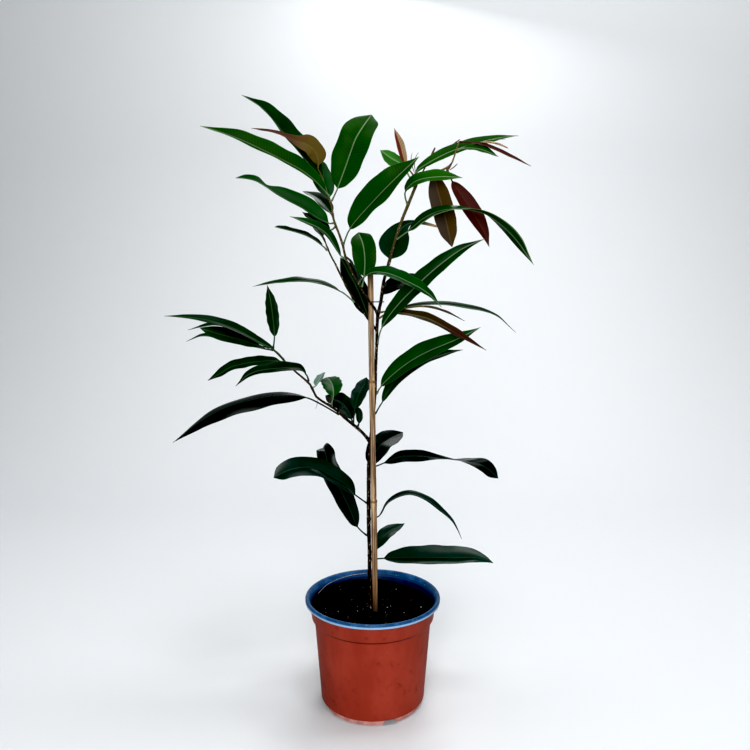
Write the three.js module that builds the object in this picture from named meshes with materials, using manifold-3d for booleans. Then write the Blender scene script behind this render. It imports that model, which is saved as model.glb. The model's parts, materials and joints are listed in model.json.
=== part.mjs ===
// A long-leaved fig in a nursery pot, tied to a bamboo cane. Millimetres, +Z up.
// The origin is the centre of the pot's underside; +Y points away from the front of the plant.
import * as THREE from "three";
import { mergeVertices } from "three/addons/utils/BufferGeometryUtils.js";
import Module from "manifold-3d";

const wasm = await Module();
wasm.setup();

// Pot
const RIM_RADIUS = 85;
const POT_HEIGHT = 137;
const LIP_HEIGHT = 6;
const COLLAR_RADIUS = 77;
const COLLAR_FOOT = 112;
const BODY_TOP_RADIUS = 73.5;
const BODY_FOOT_RADIUS = 65.5;
const WALL = 1.3;
const FOOT_HEIGHT = 7;
const FOOT_RADIUS = 62.5;
const FLOOR_UNDERSIDE = 4;
const PAD_RADIUS = 18;
const NOTCH_WIDTH = 21;
const NOTCH_TURN = -70;
const NOTCH_COUNT = 4;
const DRAIN_RADIUS = 4.5;
const DRAIN_CIRCLE = 44;
const DRAIN_COUNT = 8;
const POT_SIDES = 60;

// Soil
const SOIL_LEVEL = 123;
const SOIL_SLOPE_X = -0.045;
const SOIL_SLOPE_Y = 0.03;
const SOIL_LUMP = 0.8;
const SOIL_RINGS = 9;
const SOIL_SIDES = 40;

// Cane
const CANE_FOOT = [4.8, -15, 20];
const CANE_TOP = [-2.6, -10, 540];
const CANE_RADIUS = 3.6;
const CANE_NODES = [114, 262, 410];
const CANE_NODE_SWELL = 0.5;
const CANE_HOLE_RADIUS = 1.5;
const CANE_HOLE_DEPTH = 6;

// Tie
const TIE_HEIGHT = 506;
const TIE_RADIUS = 0.7;
const TIE_TRUNK_RADIUS = 2.3;

// Gap kept between pieces that touch in the real plant.
const GAP = 0.3;

// Leaves
const PETIOLE_RADIUS = 0.9;
const PETIOLE_GROOVED = 0.6;
const BLADE_RIB_OVER = 0.25;
const BLADE_RIB_UNDER = 0.75;
// Outlines as shares of the blade's length and of its half width there, from the petiole to the drip tip.
const OUTLINES = {
  long: [
    [0.04, 0.36], [0.12, 0.68], [0.24, 0.9], [0.38, 1], [0.54, 0.98], [0.69, 0.82], [0.82, 0.52], [0.92, 0.2],
  ],
  blunt: [
    [0.04, 0.38], [0.12, 0.7], [0.24, 0.92], [0.38, 1], [0.54, 1], [0.69, 0.92], [0.82, 0.72], [0.92, 0.34],
  ],
  tailed: [
    [0.04, 0.5], [0.12, 0.9], [0.22, 1], [0.32, 0.86], [0.43, 0.52], [0.55, 0.26], [0.7, 0.16], [0.88, 0.1],
  ],
  spoon: [
    [0.05, 0.36], [0.15, 0.6], [0.3, 0.74], [0.45, 0.68], [0.6, 0.6], [0.73, 0.85], [0.85, 0.95], [0.95, 0.5],
  ],
  nipped: [
    [0.05, 0.56], [0.15, 0.92], [0.3, 1], [0.45, 0.92], [0.57, 0.66], [0.69, 0.2], [0.8, 0.42], [0.9, 0.34],
  ],
  square: [
    [0.04, 0.38], [0.12, 0.7], [0.24, 0.92], [0.38, 1], [0.54, 1], [0.7, 0.95], [0.84, 0.88], [0.94, 0.62],
  ],
};

const FINISHES = {
  terracotta: { color: 0x96352a, roughness: 0.45, metalness: 0 },
  peat: { color: 0x15100c, roughness: 0.95, metalness: 0 },
  bamboo: { color: 0xbe9b6e, roughness: 0.5, metalness: 0 },
  tie: { color: 0x151515, roughness: 0.6, metalness: 0 },
  bark: { color: 0x2f241b, roughness: 0.8, metalness: 0 },
  root: { color: 0xb0a08c, roughness: 0.8, metalness: 0 },
  mature: { color: 0x123a12, roughness: 0.3, metalness: 0 },
  young: { color: 0x2b6420, roughness: 0.35, metalness: 0 },
  bronze: { color: 0x6b5a2a, roughness: 0.35, metalness: 0 },
  red: { color: 0x561f1c, roughness: 0.35, metalness: 0 },
};

// Stems as x, y, z and radius along their centre lines.
const STEMS = {
  trunk: [
    [-4, 1, 70, 2.6],
    [-4, 1, 100, 3],
    [-4, 1, 125, 3],
    [-4, 0, 157, 2.6],
    [-4, -2, 193, 2.4],
    [-5, -3, 232, 2.6],
    [-5, -3, 262, 2.5],
    [-5, -2, 300, 2.4],
    [-3, -2, 330, 2.4],
    [0, -2, 361, 2.1],
    [3, -2, 392, 1.9],
    [4, -2, 429, 1.8],
    [5, -2, 454, 1.9],
    [6, -2, 488, 2.1],
    [10, -2, 506, 2.1],
    [13, -3, 529, 2],
    [20, -4, 554, 2.1],
    [28, -6, 583, 1.9],
    [35, -8, 603, 1.9],
    [42, -9, 620, 2],
    [49, -10, 637, 1.9],
    [54.5, -11, 648, 1.7],
    [62, -12, 653, 1.5],
    [74, -13, 657, 1.3],
    [87, -14, 662, 1.2],
    [93, -15, 668, 1.1],
    [97, -15, 681, 1],
    [101, -15, 692, 0.8],
  ],
  leftLeader: [
    [6, -2, 489, 1.7],
    [4.5, -9, 494, 1.7],
    [2, -14.5, 499, 1.7],
    [-3, -17.5, 505, 1.7],
    [-8, -18.5, 513, 1.7],
    [-14, -18, 523, 1.6],
    [-20, -16, 533, 1.6],
    [-31, -14, 555, 1.5],
    [-35, -13, 572, 1.5],
    [-40, -12, 587, 1.4],
    [-46, -11, 603, 1.4],
    [-49, -11, 622, 1.3],
    [-55, -12, 636, 1.2],
    [-59, -13, 651, 1],
    [-64, -14, 661, 0.8],
  ],
  leftBranch: [
    [5.5, -2, 470, 1.5],
    [-1, 1, 480, 1.5],
    [-6, 1, 486, 1.5],
    [-12, 0, 495, 1.4],
    [-18, -1, 503, 1.4],
    [-27, -2, 517, 1.3],
    [-38, -4, 537, 1.2],
    [-44, -5, 550, 1.2],
    [-50, -6, 561, 1.1],
    [-56, -8, 576, 1],
    [-60, -9, 586, 0.8],
  ],
  sideBranch: [
    [-3, -2, 333, 2.2],
    [-10, -3, 343, 2.1],
    [-19, -5, 352, 2],
    [-34, -8, 365, 1.9],
    [-43, -10, 374, 1.7],
    [-54, -12, 382, 1.6],
    [-68, -15, 392, 1.5],
    [-75, -17, 407, 1.4],
    [-90, -20, 421, 1.3],
    [-102, -22, 433, 1.2],
    [-116, -24, 448, 1],
    [-124, -25, 455, 0.8],
  ],
};

// A thin root that has grown up the inside of the pot.
const ROOT_ROUTE = [
  [-71, 18, 130],
  [-61, 45, 131],
  [-49, 59, 132],
  [-30, 72, 133],
  [-8, 78, 134],
];
const ROOT_RADIUS = 0.4;

// Each leaf: the midrib's route from the stem's centre line to the drip tip, with the blade starting at its
// second point; the blade's full width; the way its upper side looks at mid blade; how far each half is
// folded up about the midrib, or down where it is negative; and how far the blade turns about it from end to
// end. Angles are in degrees.
const LEAVES = {
  left: [
    {
      route: [
        [-49, -11, 624], [-60, -8, 642], [-70, -4, 660], [-108, 6, 708], [-132, 13, 736], [-157, 18, 753],
      ],
      width: 34, face: [0.45, -0.7, 0.55], fold: 40, finish: "mature",
    },
    {
      route: [
        [-49, -11, 628], [-54, -16, 633], [-76, -24, 653], [-111, -32, 671], [-156, -38, 691],
        [-195, -36, 704],
      ],
      width: 28, face: [0.25, -0.75, 0.6], fold: 35, finish: "mature",
    },
    {
      route: [
        [-64, -14, 661], [-63, -16, 664], [-66, -19, 678], [-75, -23, 686], [-88, -26, 690], [-105, -27, 698],
        [-139, -26, 704],
      ],
      width: 27, face: [0.3, -0.9, 0.3], fold: 12, outline: "tailed", finish: "bronze",
    },
    {
      route: [[-48, -11, 617], [-52, -4, 629], [-61, 14, 654], [-79, 40, 693]],
      width: 26, face: [0.2, -0.95, 0.3], fold: 8, finish: "mature",
    },
    {
      route: [
        [-44, -12, 599], [-51, -15, 598], [-70, -18, 607], [-87, -21, 618], [-102, -23, 625],
        [-121, -24, 637], [-138, -24, 646], [-159, -22, 649],
      ],
      width: 30, face: [0.35, -0.7, 0.6], fold: 40, outline: "nipped", finish: "mature",
    },
    {
      route: [[-43, -11, 595], [-51, -4, 591], [-65, 2, 599], [-85, 9, 614]],
      width: 18, face: [0.2, -0.6, 0.7], fold: 20, finish: "mature",
    },
    {
      route: [[-46, -11, 606], [-50, -5, 611], [-64, 14, 629], [-87, 50, 645]],
      width: 24, face: [0.3, -0.6, 0.7], fold: 15, outline: "blunt", finish: "mature",
    },
    {
      route: [[-31, -14, 556], [-37, -18, 560], [-55, -30, 586], [-72, -36, 595], [-94, -42, 603]],
      width: 18, face: [0.35, -0.6, 0.7], fold: 20, finish: "mature",
    },
    {
      route: [[-51, -6, 563], [-59, -10, 572], [-76, -14, 583], [-114, -24, 593]],
      width: 15, face: [0.2, -0.35, 0.9], fold: 20, outline: "square", finish: "mature",
    },
    {
      route: [[-57, -8, 579], [-60, -3, 583], [-70, 12, 596], [-83, 35, 610]],
      width: 14, face: [0.4, -0.6, 0.6], fold: 20, finish: "young",
    },
    {
      route: [
        [-18, -1, 502], [-39, -7, 519], [-68, -14, 529], [-92, -22, 530], [-114, -28, 528],
        [-139, -34, 524],
      ],
      width: 22, face: [0.05, -0.25, 0.95], fold: 15, finish: "mature",
    },
    {
      route: [[-3, 1, 483], [-6, 4, 490], [-19, 20, 522], [-31, 34, 544], [-41, 44, 562]],
      width: 26, face: [0.3, 0.9, -0.3], fold: 10, outline: "blunt", finish: "mature",
    },
    {
      route: [[-14, -18, 523], [-15, -12, 529], [-22, -2, 546], [-34, 12, 563]],
      width: 16, face: [0.9, -0.2, 0.3], fold: 20, finish: "mature",
    },
    {
      route: [
        [-49, -11, 622], [-41, -15, 638], [-30, -20, 665], [-19, -24, 693], [-11, -15, 708], [-1, 6, 727],
      ],
      width: 41, face: [-0.15, -0.95, 0.2], fold: 12, outline: "blunt", finish: "young",
    },
    {
      route: [[-35, -13, 572], [-26, -30, 590], [1, -44, 619], [25, -53, 642], [52, -52, 667]],
      width: 38, face: [-0.4, -0.85, 0.3], fold: 28, finish: "young",
    },
    {
      route: [[-13, -18, 521], [-10, -23, 536], [-9, -26, 556], [-11, -22, 572], [-17, 0, 589]],
      width: 29, face: [-0.05, -0.9, 0.4], fold: 12, outline: "blunt", finish: "young",
    },
    {
      route: [
        [-17, -17, 528], [-10, -30, 535], [2, -38, 540], [19, -42, 538], [36, -44, 531], [62, -43, 517],
        [80, -38, 500],
      ],
      width: 22, face: [0.3, -0.65, 0.65], fold: 20, finish: "mature",
    },
  ],
  right: [
    {
      route: [
        [5, -2, 450], [11, -12, 475], [29, -20, 501], [50, -26, 523], [75, -31, 546], [104, -35, 567],
        [129, -38, 578],
      ],
      width: 24, face: [-0.4, -0.85, 0.3], fold: 15, finish: "mature",
    },
    {
      route: [
        [7, -2, 486], [30, 5, 496], [58, 10, 502], [83, 14, 503], [121, 18, 498], [152, 22, 490],
        [179, 24, 468],
      ],
      width: 19, face: [0, -0.3, 0.95], fold: 12, finish: "mature",
    },
    {
      route: [[6, -2, 485], [19, -6, 493], [33, -10, 493], [66, -18, 486], [86, -21, 476], [135, -24, 449]],
      width: 17, face: [0.35, -0.65, 0.7], fold: 18, finish: "bronze",
    },
    {
      route: [[7, -2, 493], [60, -2, 500.5], [76, -2, 498], [94, 0, 491.5], [112, 1, 483]],
      width: 9, face: [0.1, -0.2, 1], fold: 20, finish: "bronze",
    },
    {
      route: [[3, -2, 389], [10, -5, 403], [38, -10, 429], [62, -12, 444], [105, -14, 463], [129, -16, 476]],
      width: 31, face: [-0.35, -0.7, 0.65], fold: 16, finish: "mature",
    },
    {
      route: [[1, -2, 365], [12, 4, 383], [29, 12, 409], [59, 18, 431], [84, 23, 440], [114, 28, 446]],
      width: 22, face: [-0.25, -0.65, 0.75], fold: 15, finish: "mature",
    },
    {
      route: [[19.5, -4, 552], [21, 2, 557], [29, 12, 583], [38, 19, 598], [51, 24, 603], [89, 24, 596]],
      width: 38, face: [-0.1, -0.85, 0.5], fold: 15, outline: "tailed", finish: "mature",
    },
    {
      route: [
        [27, -6, 579], [42, -17, 589], [66, -33, 606], [93, -42, 611], [120, -46, 608], [139, -47, 598],
        [160, -46, 580], [185, -42, 548],
      ],
      width: 27, face: [0.4, -0.1, 0.9], fold: 8, twist: -130, finish: "mature",
    },
    {
      route: [[71, -12, 656], [72, -17, 652], [76, -20, 635], [85, -19, 604], [94, -16, 570]],
      width: 26, face: [-0.1, -1, -0.1], fold: 15, outline: "blunt", finish: "bronze",
    },
    {
      route: [
        [87, -14, 661], [93, -17, 646], [103, -20, 630], [119, -22, 606], [130, -22, 587], [137, -20, 570],
      ],
      width: 22, face: [0.25, -0.95, 0.2], fold: 15, finish: "red",
    },
    {
      route: [[41.5, -9, 619], [38, -22, 633], [50, -28, 644], [74, -33, 648], [103, -35, 647]],
      width: 22, face: [-0.1, -0.75, 0.65], fold: 18, finish: "young",
    },
    {
      route: [
        [52, -11, 643], [51, -6, 657], [71, -3, 672], [98, -1, 685], [121, 0, 692], [150, 1, 699],
        [173, 2, 702],
      ],
      width: 19, face: [-0.3, -0.75, 0.6], fold: 15, finish: "mature",
    },
    {
      route: [[97, -15, 681], [105, -18, 683], [124, -22, 681], [145, -26, 672]],
      width: 13, face: [0.15, -0.75, 0.65], fold: 18, finish: "young",
    },
    {
      route: [[101, -15, 691], [113, -18, 690], [132, -21, 685], [157, -26, 673], [182, -29, 661]],
      width: 8, face: [0.3, -0.7, 0.65], fold: 20, finish: "red",
    },
    {
      route: [[54, -11, 647], [39, -17, 665], [32, -18, 687], [25, -18, 706]],
      width: 11, face: [0.1, -1, 0.05], fold: 30, finish: "red",
    },
    {
      route: [[50, -10, 638], [36, -3, 666], [23, 6, 676], [9, 24, 690]],
      width: 16, face: [0.5, 0.8, -0.2], fold: 12, finish: "young",
    },
    {
      route: [[11, -2, 508], [13, 5, 515], [24, 12, 524], [44, 20, 532], [71, 26, 534]],
      width: 26, face: [0.1, -0.65, 0.75], fold: 15, finish: "mature",
    },
  ],
  trunk: [
    {
      route: [
        [-4, -2, 300], [14, -1, 307], [34, -9, 317], [61, -16, 319], [88, -20, 317], [109, -24, 315],
        [133, -28, 310], [151, -30, 295],
      ],
      width: 24, face: [0.1, 0.64, 1], fold: 8, twist: 200, outline: "spoon", finish: "mature",
    },
    {
      route: [
        [-5, -3, 236], [7, 0, 239], [19, -4, 258], [39, -9, 270], [56, -13, 270], [78, -18, 257],
        [98, -22, 239], [109, -24, 218],
      ],
      width: 14, face: [0.4, -0.28, 0.9], fold: 12, finish: "mature",
    },
    {
      route: [[-4, -2, 192], [1, 4, 194], [10, 14, 203], [20, 28, 209], [43, 58, 211]],
      width: 20, face: [-0.2, -0.6, 0.7], fold: 12, finish: "mature",
    },
    {
      route: [
        [-4, -1, 183], [14, -4, 186], [41, -11, 189], [73, -18, 192], [105, -24, 194], [127, -27, 195],
        [147, -30, 190],
      ],
      width: 31, face: [-0.12, -0.66, 0.75], fold: 34, outline: "blunt", finish: "mature",
    },
    {
      route: [[-5, -2, 297], [-3, 5, 303], [7, 20, 322], [20, 38, 329], [40, 62, 334]],
      width: 30, face: [0, -0.6, 0.7], fold: 14, outline: "blunt", finish: "mature",
    },
    {
      route: [
        [-5, -3, 255], [-21, -13, 270], [-31, -20, 283], [-48, -27, 296], [-72, -36, 310], [-97, -44, 309],
        [-116, -50, 301],
      ],
      width: 28, face: [0.4, -0.65, 0.65], fold: 20, outline: "square", finish: "mature",
    },
    {
      route: [
        [-5, -3, 213], [-19, -5, 227], [-28, -7, 249], [-39, -9, 273], [-48, -9, 291], [-56, -5, 309],
        [-61, 8, 325], [-64, 20, 319],
      ],
      width: 25, face: [0.15, -0.95, 0.2], fold: 15, outline: "square", finish: "mature",
    },
  ],
  side: [
    {
      route: [
        [-34, -8, 365], [-79, -28, 393], [-103, -34, 397], [-127, -39, 395], [-151, -44, 390],
        [-174, -48, 383], [-200, -52, 368], [-231, -56, 344],
      ],
      width: 28, face: [-0.2, -0.65, 0.75], fold: -25, finish: "mature",
    },
    {
      route: [
        [-101, -22, 432], [-115, -29, 449], [-131, -30, 458], [-157, -33, 473], [-183, -38, 483],
        [-211, -41, 488], [-240, -43, 490],
      ],
      width: 17, face: [0.3, -0.5, 0.8], fold: 18, finish: "mature",
    },
    {
      route: [
        [-123, -25, 453], [-131, -21, 459], [-152, -14, 468], [-172, -8, 476], [-195, -2, 478],
        [-226, 4, 472],
      ],
      width: 18, face: [-0.1, -0.3, 0.95], fold: 15, finish: "mature",
    },
    {
      route: [
        [-122, -24, 452], [-135, -21, 454], [-151, -18, 459], [-171, -15, 464], [-190, -12, 469],
        [-208, -10, 475],
      ],
      width: 24, face: [0.15, -0.65, 0.75], fold: 15, outline: "blunt", finish: "mature",
    },
    {
      route: [
        [-118, -24, 449], [-129, -14, 450], [-154, -4, 455], [-182, 6, 460], [-208, 14, 465],
        [-232, 18, 457],
      ],
      width: 16, face: [0.05, -0.4, 0.9], fold: 15, finish: "mature",
    },
    {
      route: [[-118, -24, 450], [-117, -18, 465], [-119, -15, 487], [-122, -12, 508], [-126, -9, 526]],
      width: 16, face: [0.15, -0.95, 0.2], fold: 15, finish: "young",
    },
    {
      route: [
        [-101, -22, 431], [-110, -24, 436], [-131, -27, 436], [-153, -30, 433], [-168, -31, 429],
        [-181, -33, 421], [-194, -34, 414],
      ],
      width: 18, face: [-0.2, -0.65, 0.75], fold: 15, outline: "blunt", finish: "mature",
    },
    {
      route: [
        [-76, -17, 408], [-79, -23, 420], [-88, -31, 429], [-99, -37, 429], [-114, -44, 429],
        [-140, -52, 424], [-157, -56, 410],
      ],
      width: 17, face: [-0.15, -0.7, 0.7], fold: 20, finish: "mature",
    },
    {
      route: [[-74, -16, 402], [-69, -8, 405], [-65, 8, 412], [-64, 30, 416]],
      width: 14, face: [-0.4, -0.3, 0.8], fold: 15, outline: "blunt", finish: "mature",
    },
    {
      route: [[-51, -12, 379], [-48, -8, 391], [-49, 8, 400], [-54, 30, 406], [-60, 55, 408]],
      width: 26, face: [-0.1, -0.3, 0.95], fold: 10, outline: "blunt", finish: "young",
    },
    {
      route: [[-25, -6, 357], [-26, 1, 362], [-30, 9, 370], [-39, 19, 380], [-61, 40, 386]],
      width: 24, face: [-0.2, -0.6, 0.75], fold: 12, outline: "blunt", finish: "mature",
    },
    {
      route: [[-24, -6, 356], [-22, 5, 374], [-18, 16, 389], [-12, 30, 399], [-8, 46, 409]],
      width: 20, face: [0, -0.6, 0.8], fold: 12, outline: "blunt", finish: "mature",
    },
    {
      route: [[-19, -5, 352], [-17, 0, 357], [-17, 8, 368], [-20, 14, 376]],
      width: 9, face: [0.15, -0.8, 0.55], fold: 15, outline: "blunt", finish: "mature",
    },
  ],
};

// A closed surface through rings that all have the same number of points, listed anticlockwise as seen from
// the last ring. Each end closes on a point where one is given, and with a flat cap where it isn't.
// Neighbouring sides are split along opposite diagonals, so a thin blade keeps its thickness as it turns.
function loft(rings, startPoint, endPoint) {
  const sides = rings[0].length;
  const vertices = rings.flat();
  const faces = [];
  const at = (ring, side) => ring * sides + (side % sides);
  for (let ring = 0; ring + 1 < rings.length; ring++)
    for (let side = 0; side < sides; side++) {
      const corners = [at(ring, side), at(ring, side + 1), at(ring + 1, side + 1), at(ring + 1, side)];
      const [a, b, c, d] = side % 2 ? [...corners.slice(1), corners[0]] : corners;
      faces.push([a, b, c], [a, c, d]);
    }
  closeEnd(vertices, faces, (side) => at(0, sides - side), sides, startPoint);
  closeEnd(vertices, faces, (side) => at(rings.length - 1, side), sides, endPoint);
  return surface(vertices, faces);
}

function closeEnd(vertices, faces, corner, sides, point) {
  if (point) {
    vertices.push(point);
    for (let side = 0; side < sides; side++)
      faces.push([corner(side), corner(side + 1), vertices.length - 1]);
    return;
  }
  for (let side = 1; side + 1 < sides; side++)
    faces.push([corner(0), corner(side), corner(side + 1)]);
}

function surface(vertices, faces) {
  const geometry = new THREE.BufferGeometry().setFromPoints(vertices);
  geometry.setIndex(faces.flat());
  geometry.computeVertexNormals();
  return geometry;
}

// A loft that runs round on itself, such as a hoop of wire.
function hoop(rings) {
  const sides = rings[0].length;
  const faces = [];
  const at = (ring, side) => (ring % rings.length) * sides + (side % sides);
  for (let ring = 0; ring < rings.length; ring++)
    for (let side = 0; side < sides; side++) {
      faces.push([at(ring, side), at(ring, side + 1), at(ring + 1, side + 1)]);
      faces.push([at(ring, side), at(ring + 1, side + 1), at(ring + 1, side)]);
    }
  return surface(rings.flat(), faces);
}

function solidOf(geometry) {
  const bare = geometry.clone();
  bare.deleteAttribute("normal");
  bare.deleteAttribute("uv");
  const merged = mergeVertices(bare, 1e-3);
  return new wasm.Manifold(
    new wasm.Mesh({
      numProp: 3,
      vertProperties: new Float32Array(merged.attributes.position.array),
      triVerts: new Uint32Array(merged.index.array),
    }),
  );
}

function geometryOf(solid) {
  const mesh = solid.getMesh();
  const geometry = new THREE.BufferGeometry();
  geometry.setAttribute("position", new THREE.BufferAttribute(mesh.vertProperties, 3));
  geometry.setIndex(new THREE.BufferAttribute(mesh.triVerts, 1));
  geometry.computeVertexNormals();
  return geometry;
}

// A circle of points about a centre, square to a direction, starting on the +Y side.
function circle(centre, direction, radius, sides) {
  const first = new THREE.Vector3(0, 1, 0);
  first.addScaledVector(direction, -first.dot(direction)).normalize();
  const second = new THREE.Vector3().crossVectors(direction, first);
  return Array.from({ length: sides }, (_, side) => {
    const turn = (side / sides) * 2 * Math.PI;
    return centre
      .clone()
      .addScaledVector(first, radius * Math.cos(turn))
      .addScaledVector(second, radius * Math.sin(turn));
  });
}

const vector = ([x, y, z]) => new THREE.Vector3(x, y, z);

const smoothRoute = (points) => new THREE.CatmullRomCurve3(points.map(vector), false, "centripetal");

// The radius at a place along a stem, counted as a share of its listed points.
function stemRadius(points, share) {
  const place = share * (points.length - 1);
  const before = Math.min(Math.floor(place), points.length - 2);
  return THREE.MathUtils.lerp(points[before][3], points[before + 1][3], place - before);
}

function stemGeometry(points, extra) {
  const route = smoothRoute(points);
  const steps = (points.length - 1) * 2;
  const rings = [];
  for (let step = 0; step <= steps; step++) {
    const share = step / steps;
    const radius = stemRadius(points, share) + extra;
    rings.push(circle(route.getPoint(share), route.getTangent(share), radius, 8));
  }
  return loft(rings);
}

function stemSolid(extra) {
  return Object.values(STEMS)
    .map((points) => solidOf(stemGeometry(points, extra)))
    .reduce((joined, next) => joined.add(next));
}

// Centre and radius every few millimetres along every stem, for keeping leaf stalks clear of them.
function stemBeads() {
  return Object.values(STEMS).flatMap((points) => {
    const route = smoothRoute(points);
    const steps = points.length * 12;
    return Array.from({ length: steps + 1 }, (_, step) => ({
      centre: route.getPoint(step / steps),
      radius: stemRadius(points, step / steps),
    }));
  });
}

const BEADS = stemBeads();

function clearOfStems(point, reach) {
  return BEADS.every((bead) => bead.centre.distanceTo(point) > bead.radius + reach);
}

// Pot: one moulding, drawn as its wall's profile from the underside's centre out, up, over the lip and back.
function potProfile() {
  const outside = [
    [0, 0],
    [PAD_RADIUS, 0],
    [PAD_RADIUS + 2, FLOOR_UNDERSIDE],
    [FOOT_RADIUS - 6, FLOOR_UNDERSIDE],
    [FOOT_RADIUS - 4, 0],
    [FOOT_RADIUS - 1, 0],
    [FOOT_RADIUS, FOOT_HEIGHT - 1],
    [BODY_FOOT_RADIUS, FOOT_HEIGHT],
    [BODY_TOP_RADIUS, COLLAR_FOOT - 4],
    [COLLAR_RADIUS - 0.4, COLLAR_FOOT - 1],
    [COLLAR_RADIUS, COLLAR_FOOT],
    [COLLAR_RADIUS + 2.5, POT_HEIGHT - LIP_HEIGHT],
    [RIM_RADIUS - 0.5, POT_HEIGHT - LIP_HEIGHT],
    [RIM_RADIUS, POT_HEIGHT - LIP_HEIGHT + 1],
    [RIM_RADIUS, POT_HEIGHT - 1.5],
    [RIM_RADIUS - 1.5, POT_HEIGHT],
  ];
  const inside = [
    [RIM_RADIUS - 4.5, POT_HEIGHT - 0.4],
    [COLLAR_RADIUS + 2.5 - WALL, POT_HEIGHT - LIP_HEIGHT],
    [COLLAR_RADIUS - WALL, COLLAR_FOOT],
    [BODY_TOP_RADIUS - WALL, COLLAR_FOOT - 4],
    [BODY_FOOT_RADIUS - WALL - 0.3, FOOT_HEIGHT + 2],
    [BODY_FOOT_RADIUS - WALL - 3, FLOOR_UNDERSIDE + WALL],
    [PAD_RADIUS + 1, FLOOR_UNDERSIDE + WALL],
    [PAD_RADIUS - 1, WALL + 0.6],
    [0, WALL + 0.6],
  ];
  return [...outside, ...inside].map(([radius, height]) => new THREE.Vector2(radius, height));
}

function potGeometry() {
  const turned = new THREE.LatheGeometry(potProfile(), POT_SIDES).rotateX(Math.PI / 2);
  let pot = solidOf(turned);
  for (let i = 0; i < NOTCH_COUNT; i++) pot = pot.subtract(footNotch(NOTCH_TURN + (i * 360) / NOTCH_COUNT));
  for (let i = 0; i < DRAIN_COUNT; i++) pot = pot.subtract(drainHole((i * 360) / DRAIN_COUNT));
  return geometryOf(pot);
}

// An arched opening through the foot ring, where water runs out.
function footNotch(turn) {
  const arch = new THREE.Shape();
  arch.moveTo(-NOTCH_WIDTH / 2, -1);
  arch.lineTo(NOTCH_WIDTH / 2, -1);
  arch.lineTo(NOTCH_WIDTH / 2 - 5, FOOT_HEIGHT - 1);
  arch.lineTo(-NOTCH_WIDTH / 2 + 5, FOOT_HEIGHT - 1);
  arch.closePath();
  const geometry = new THREE.ExtrudeGeometry(arch, { depth: 9, bevelEnabled: false });
  geometry.rotateX(Math.PI / 2).rotateZ(Math.PI / 2);
  geometry.translate(FOOT_RADIUS - 7, 0, 0).rotateZ(THREE.MathUtils.degToRad(turn));
  return solidOf(geometry);
}

function drainHole(turn) {
  const geometry = new THREE.CylinderGeometry(DRAIN_RADIUS, DRAIN_RADIUS, 20, 12).rotateX(Math.PI / 2);
  geometry.translate(DRAIN_CIRCLE, 0, 0).rotateZ(THREE.MathUtils.degToRad(turn));
  return solidOf(geometry);
}

// Soil: it fills the pot to a surface that slopes a little and is slightly lumpy.
function soilHeight(x, y) {
  const lumps = Math.sin(x / 15 + 1) * Math.cos(y / 12) * SOIL_LUMP;
  return SOIL_LEVEL + SOIL_SLOPE_X * x + SOIL_SLOPE_Y * y + lumps;
}

function potInnerRadius(height) {
  const share = (height - FOOT_HEIGHT) / (COLLAR_FOOT - 4 - FOOT_HEIGHT);
  return THREE.MathUtils.lerp(BODY_FOOT_RADIUS, BODY_TOP_RADIUS, share) - WALL;
}

function soilGeometry() {
  const ring = (radius, height) =>
    Array.from({ length: SOIL_SIDES }, (_, side) => {
      const turn = (side / SOIL_SIDES) * 2 * Math.PI;
      const x = radius * Math.cos(turn);
      const y = radius * Math.sin(turn);
      return new THREE.Vector3(x, y, height ?? soilHeight(x, y));
    });
  const low = FLOOR_UNDERSIDE + WALL + GAP;
  const rings = [
    ring(potInnerRadius(low) - 3.5, low),
    ring(potInnerRadius(FOOT_HEIGHT + 4) - 1, FOOT_HEIGHT + 4),
    ring(potInnerRadius(COLLAR_FOOT - 4) - 0.6, COLLAR_FOOT - 4),
    ring(COLLAR_RADIUS - WALL - 0.5, COLLAR_FOOT + 1),
  ];
  for (let i = SOIL_RINGS; i > 0; i--)
    rings.push(ring(((COLLAR_RADIUS - WALL) * i) / SOIL_RINGS, null));
  const filled = solidOf(loft(rings, null, new THREE.Vector3(0, 0, soilHeight(0, 0))));
  return geometryOf(filled.subtract(caneSolid(GAP)).subtract(stemSolid(GAP)));
}

// Cane: a straight bamboo stick with swollen joints and a hollow top.
function caneGeometry(extra) {
  const foot = vector(CANE_FOOT);
  const top = vector(CANE_TOP);
  const direction = top.clone().sub(foot).normalize();
  const ring = (height, radius) => {
    const share = (height - foot.z) / (top.z - foot.z);
    return circle(foot.clone().lerp(top, share), direction, radius + extra, 12);
  };
  const rings = [ring(foot.z - extra, CANE_RADIUS - 0.8), ring(foot.z + 6, CANE_RADIUS)];
  for (const height of CANE_NODES) {
    rings.push(ring(height - 4, CANE_RADIUS));
    rings.push(ring(height, CANE_RADIUS + CANE_NODE_SWELL));
    rings.push(ring(height + 3, CANE_RADIUS - 0.1));
  }
  rings.push(ring(top.z, CANE_RADIUS - 0.2));
  if (extra) return loft(rings);
  rings.push(ring(top.z, CANE_HOLE_RADIUS));
  rings.push(ring(top.z - CANE_HOLE_DEPTH, CANE_HOLE_RADIUS - 0.3));
  return loft(rings);
}

const caneSolid = (extra) => solidOf(caneGeometry(extra));

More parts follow.
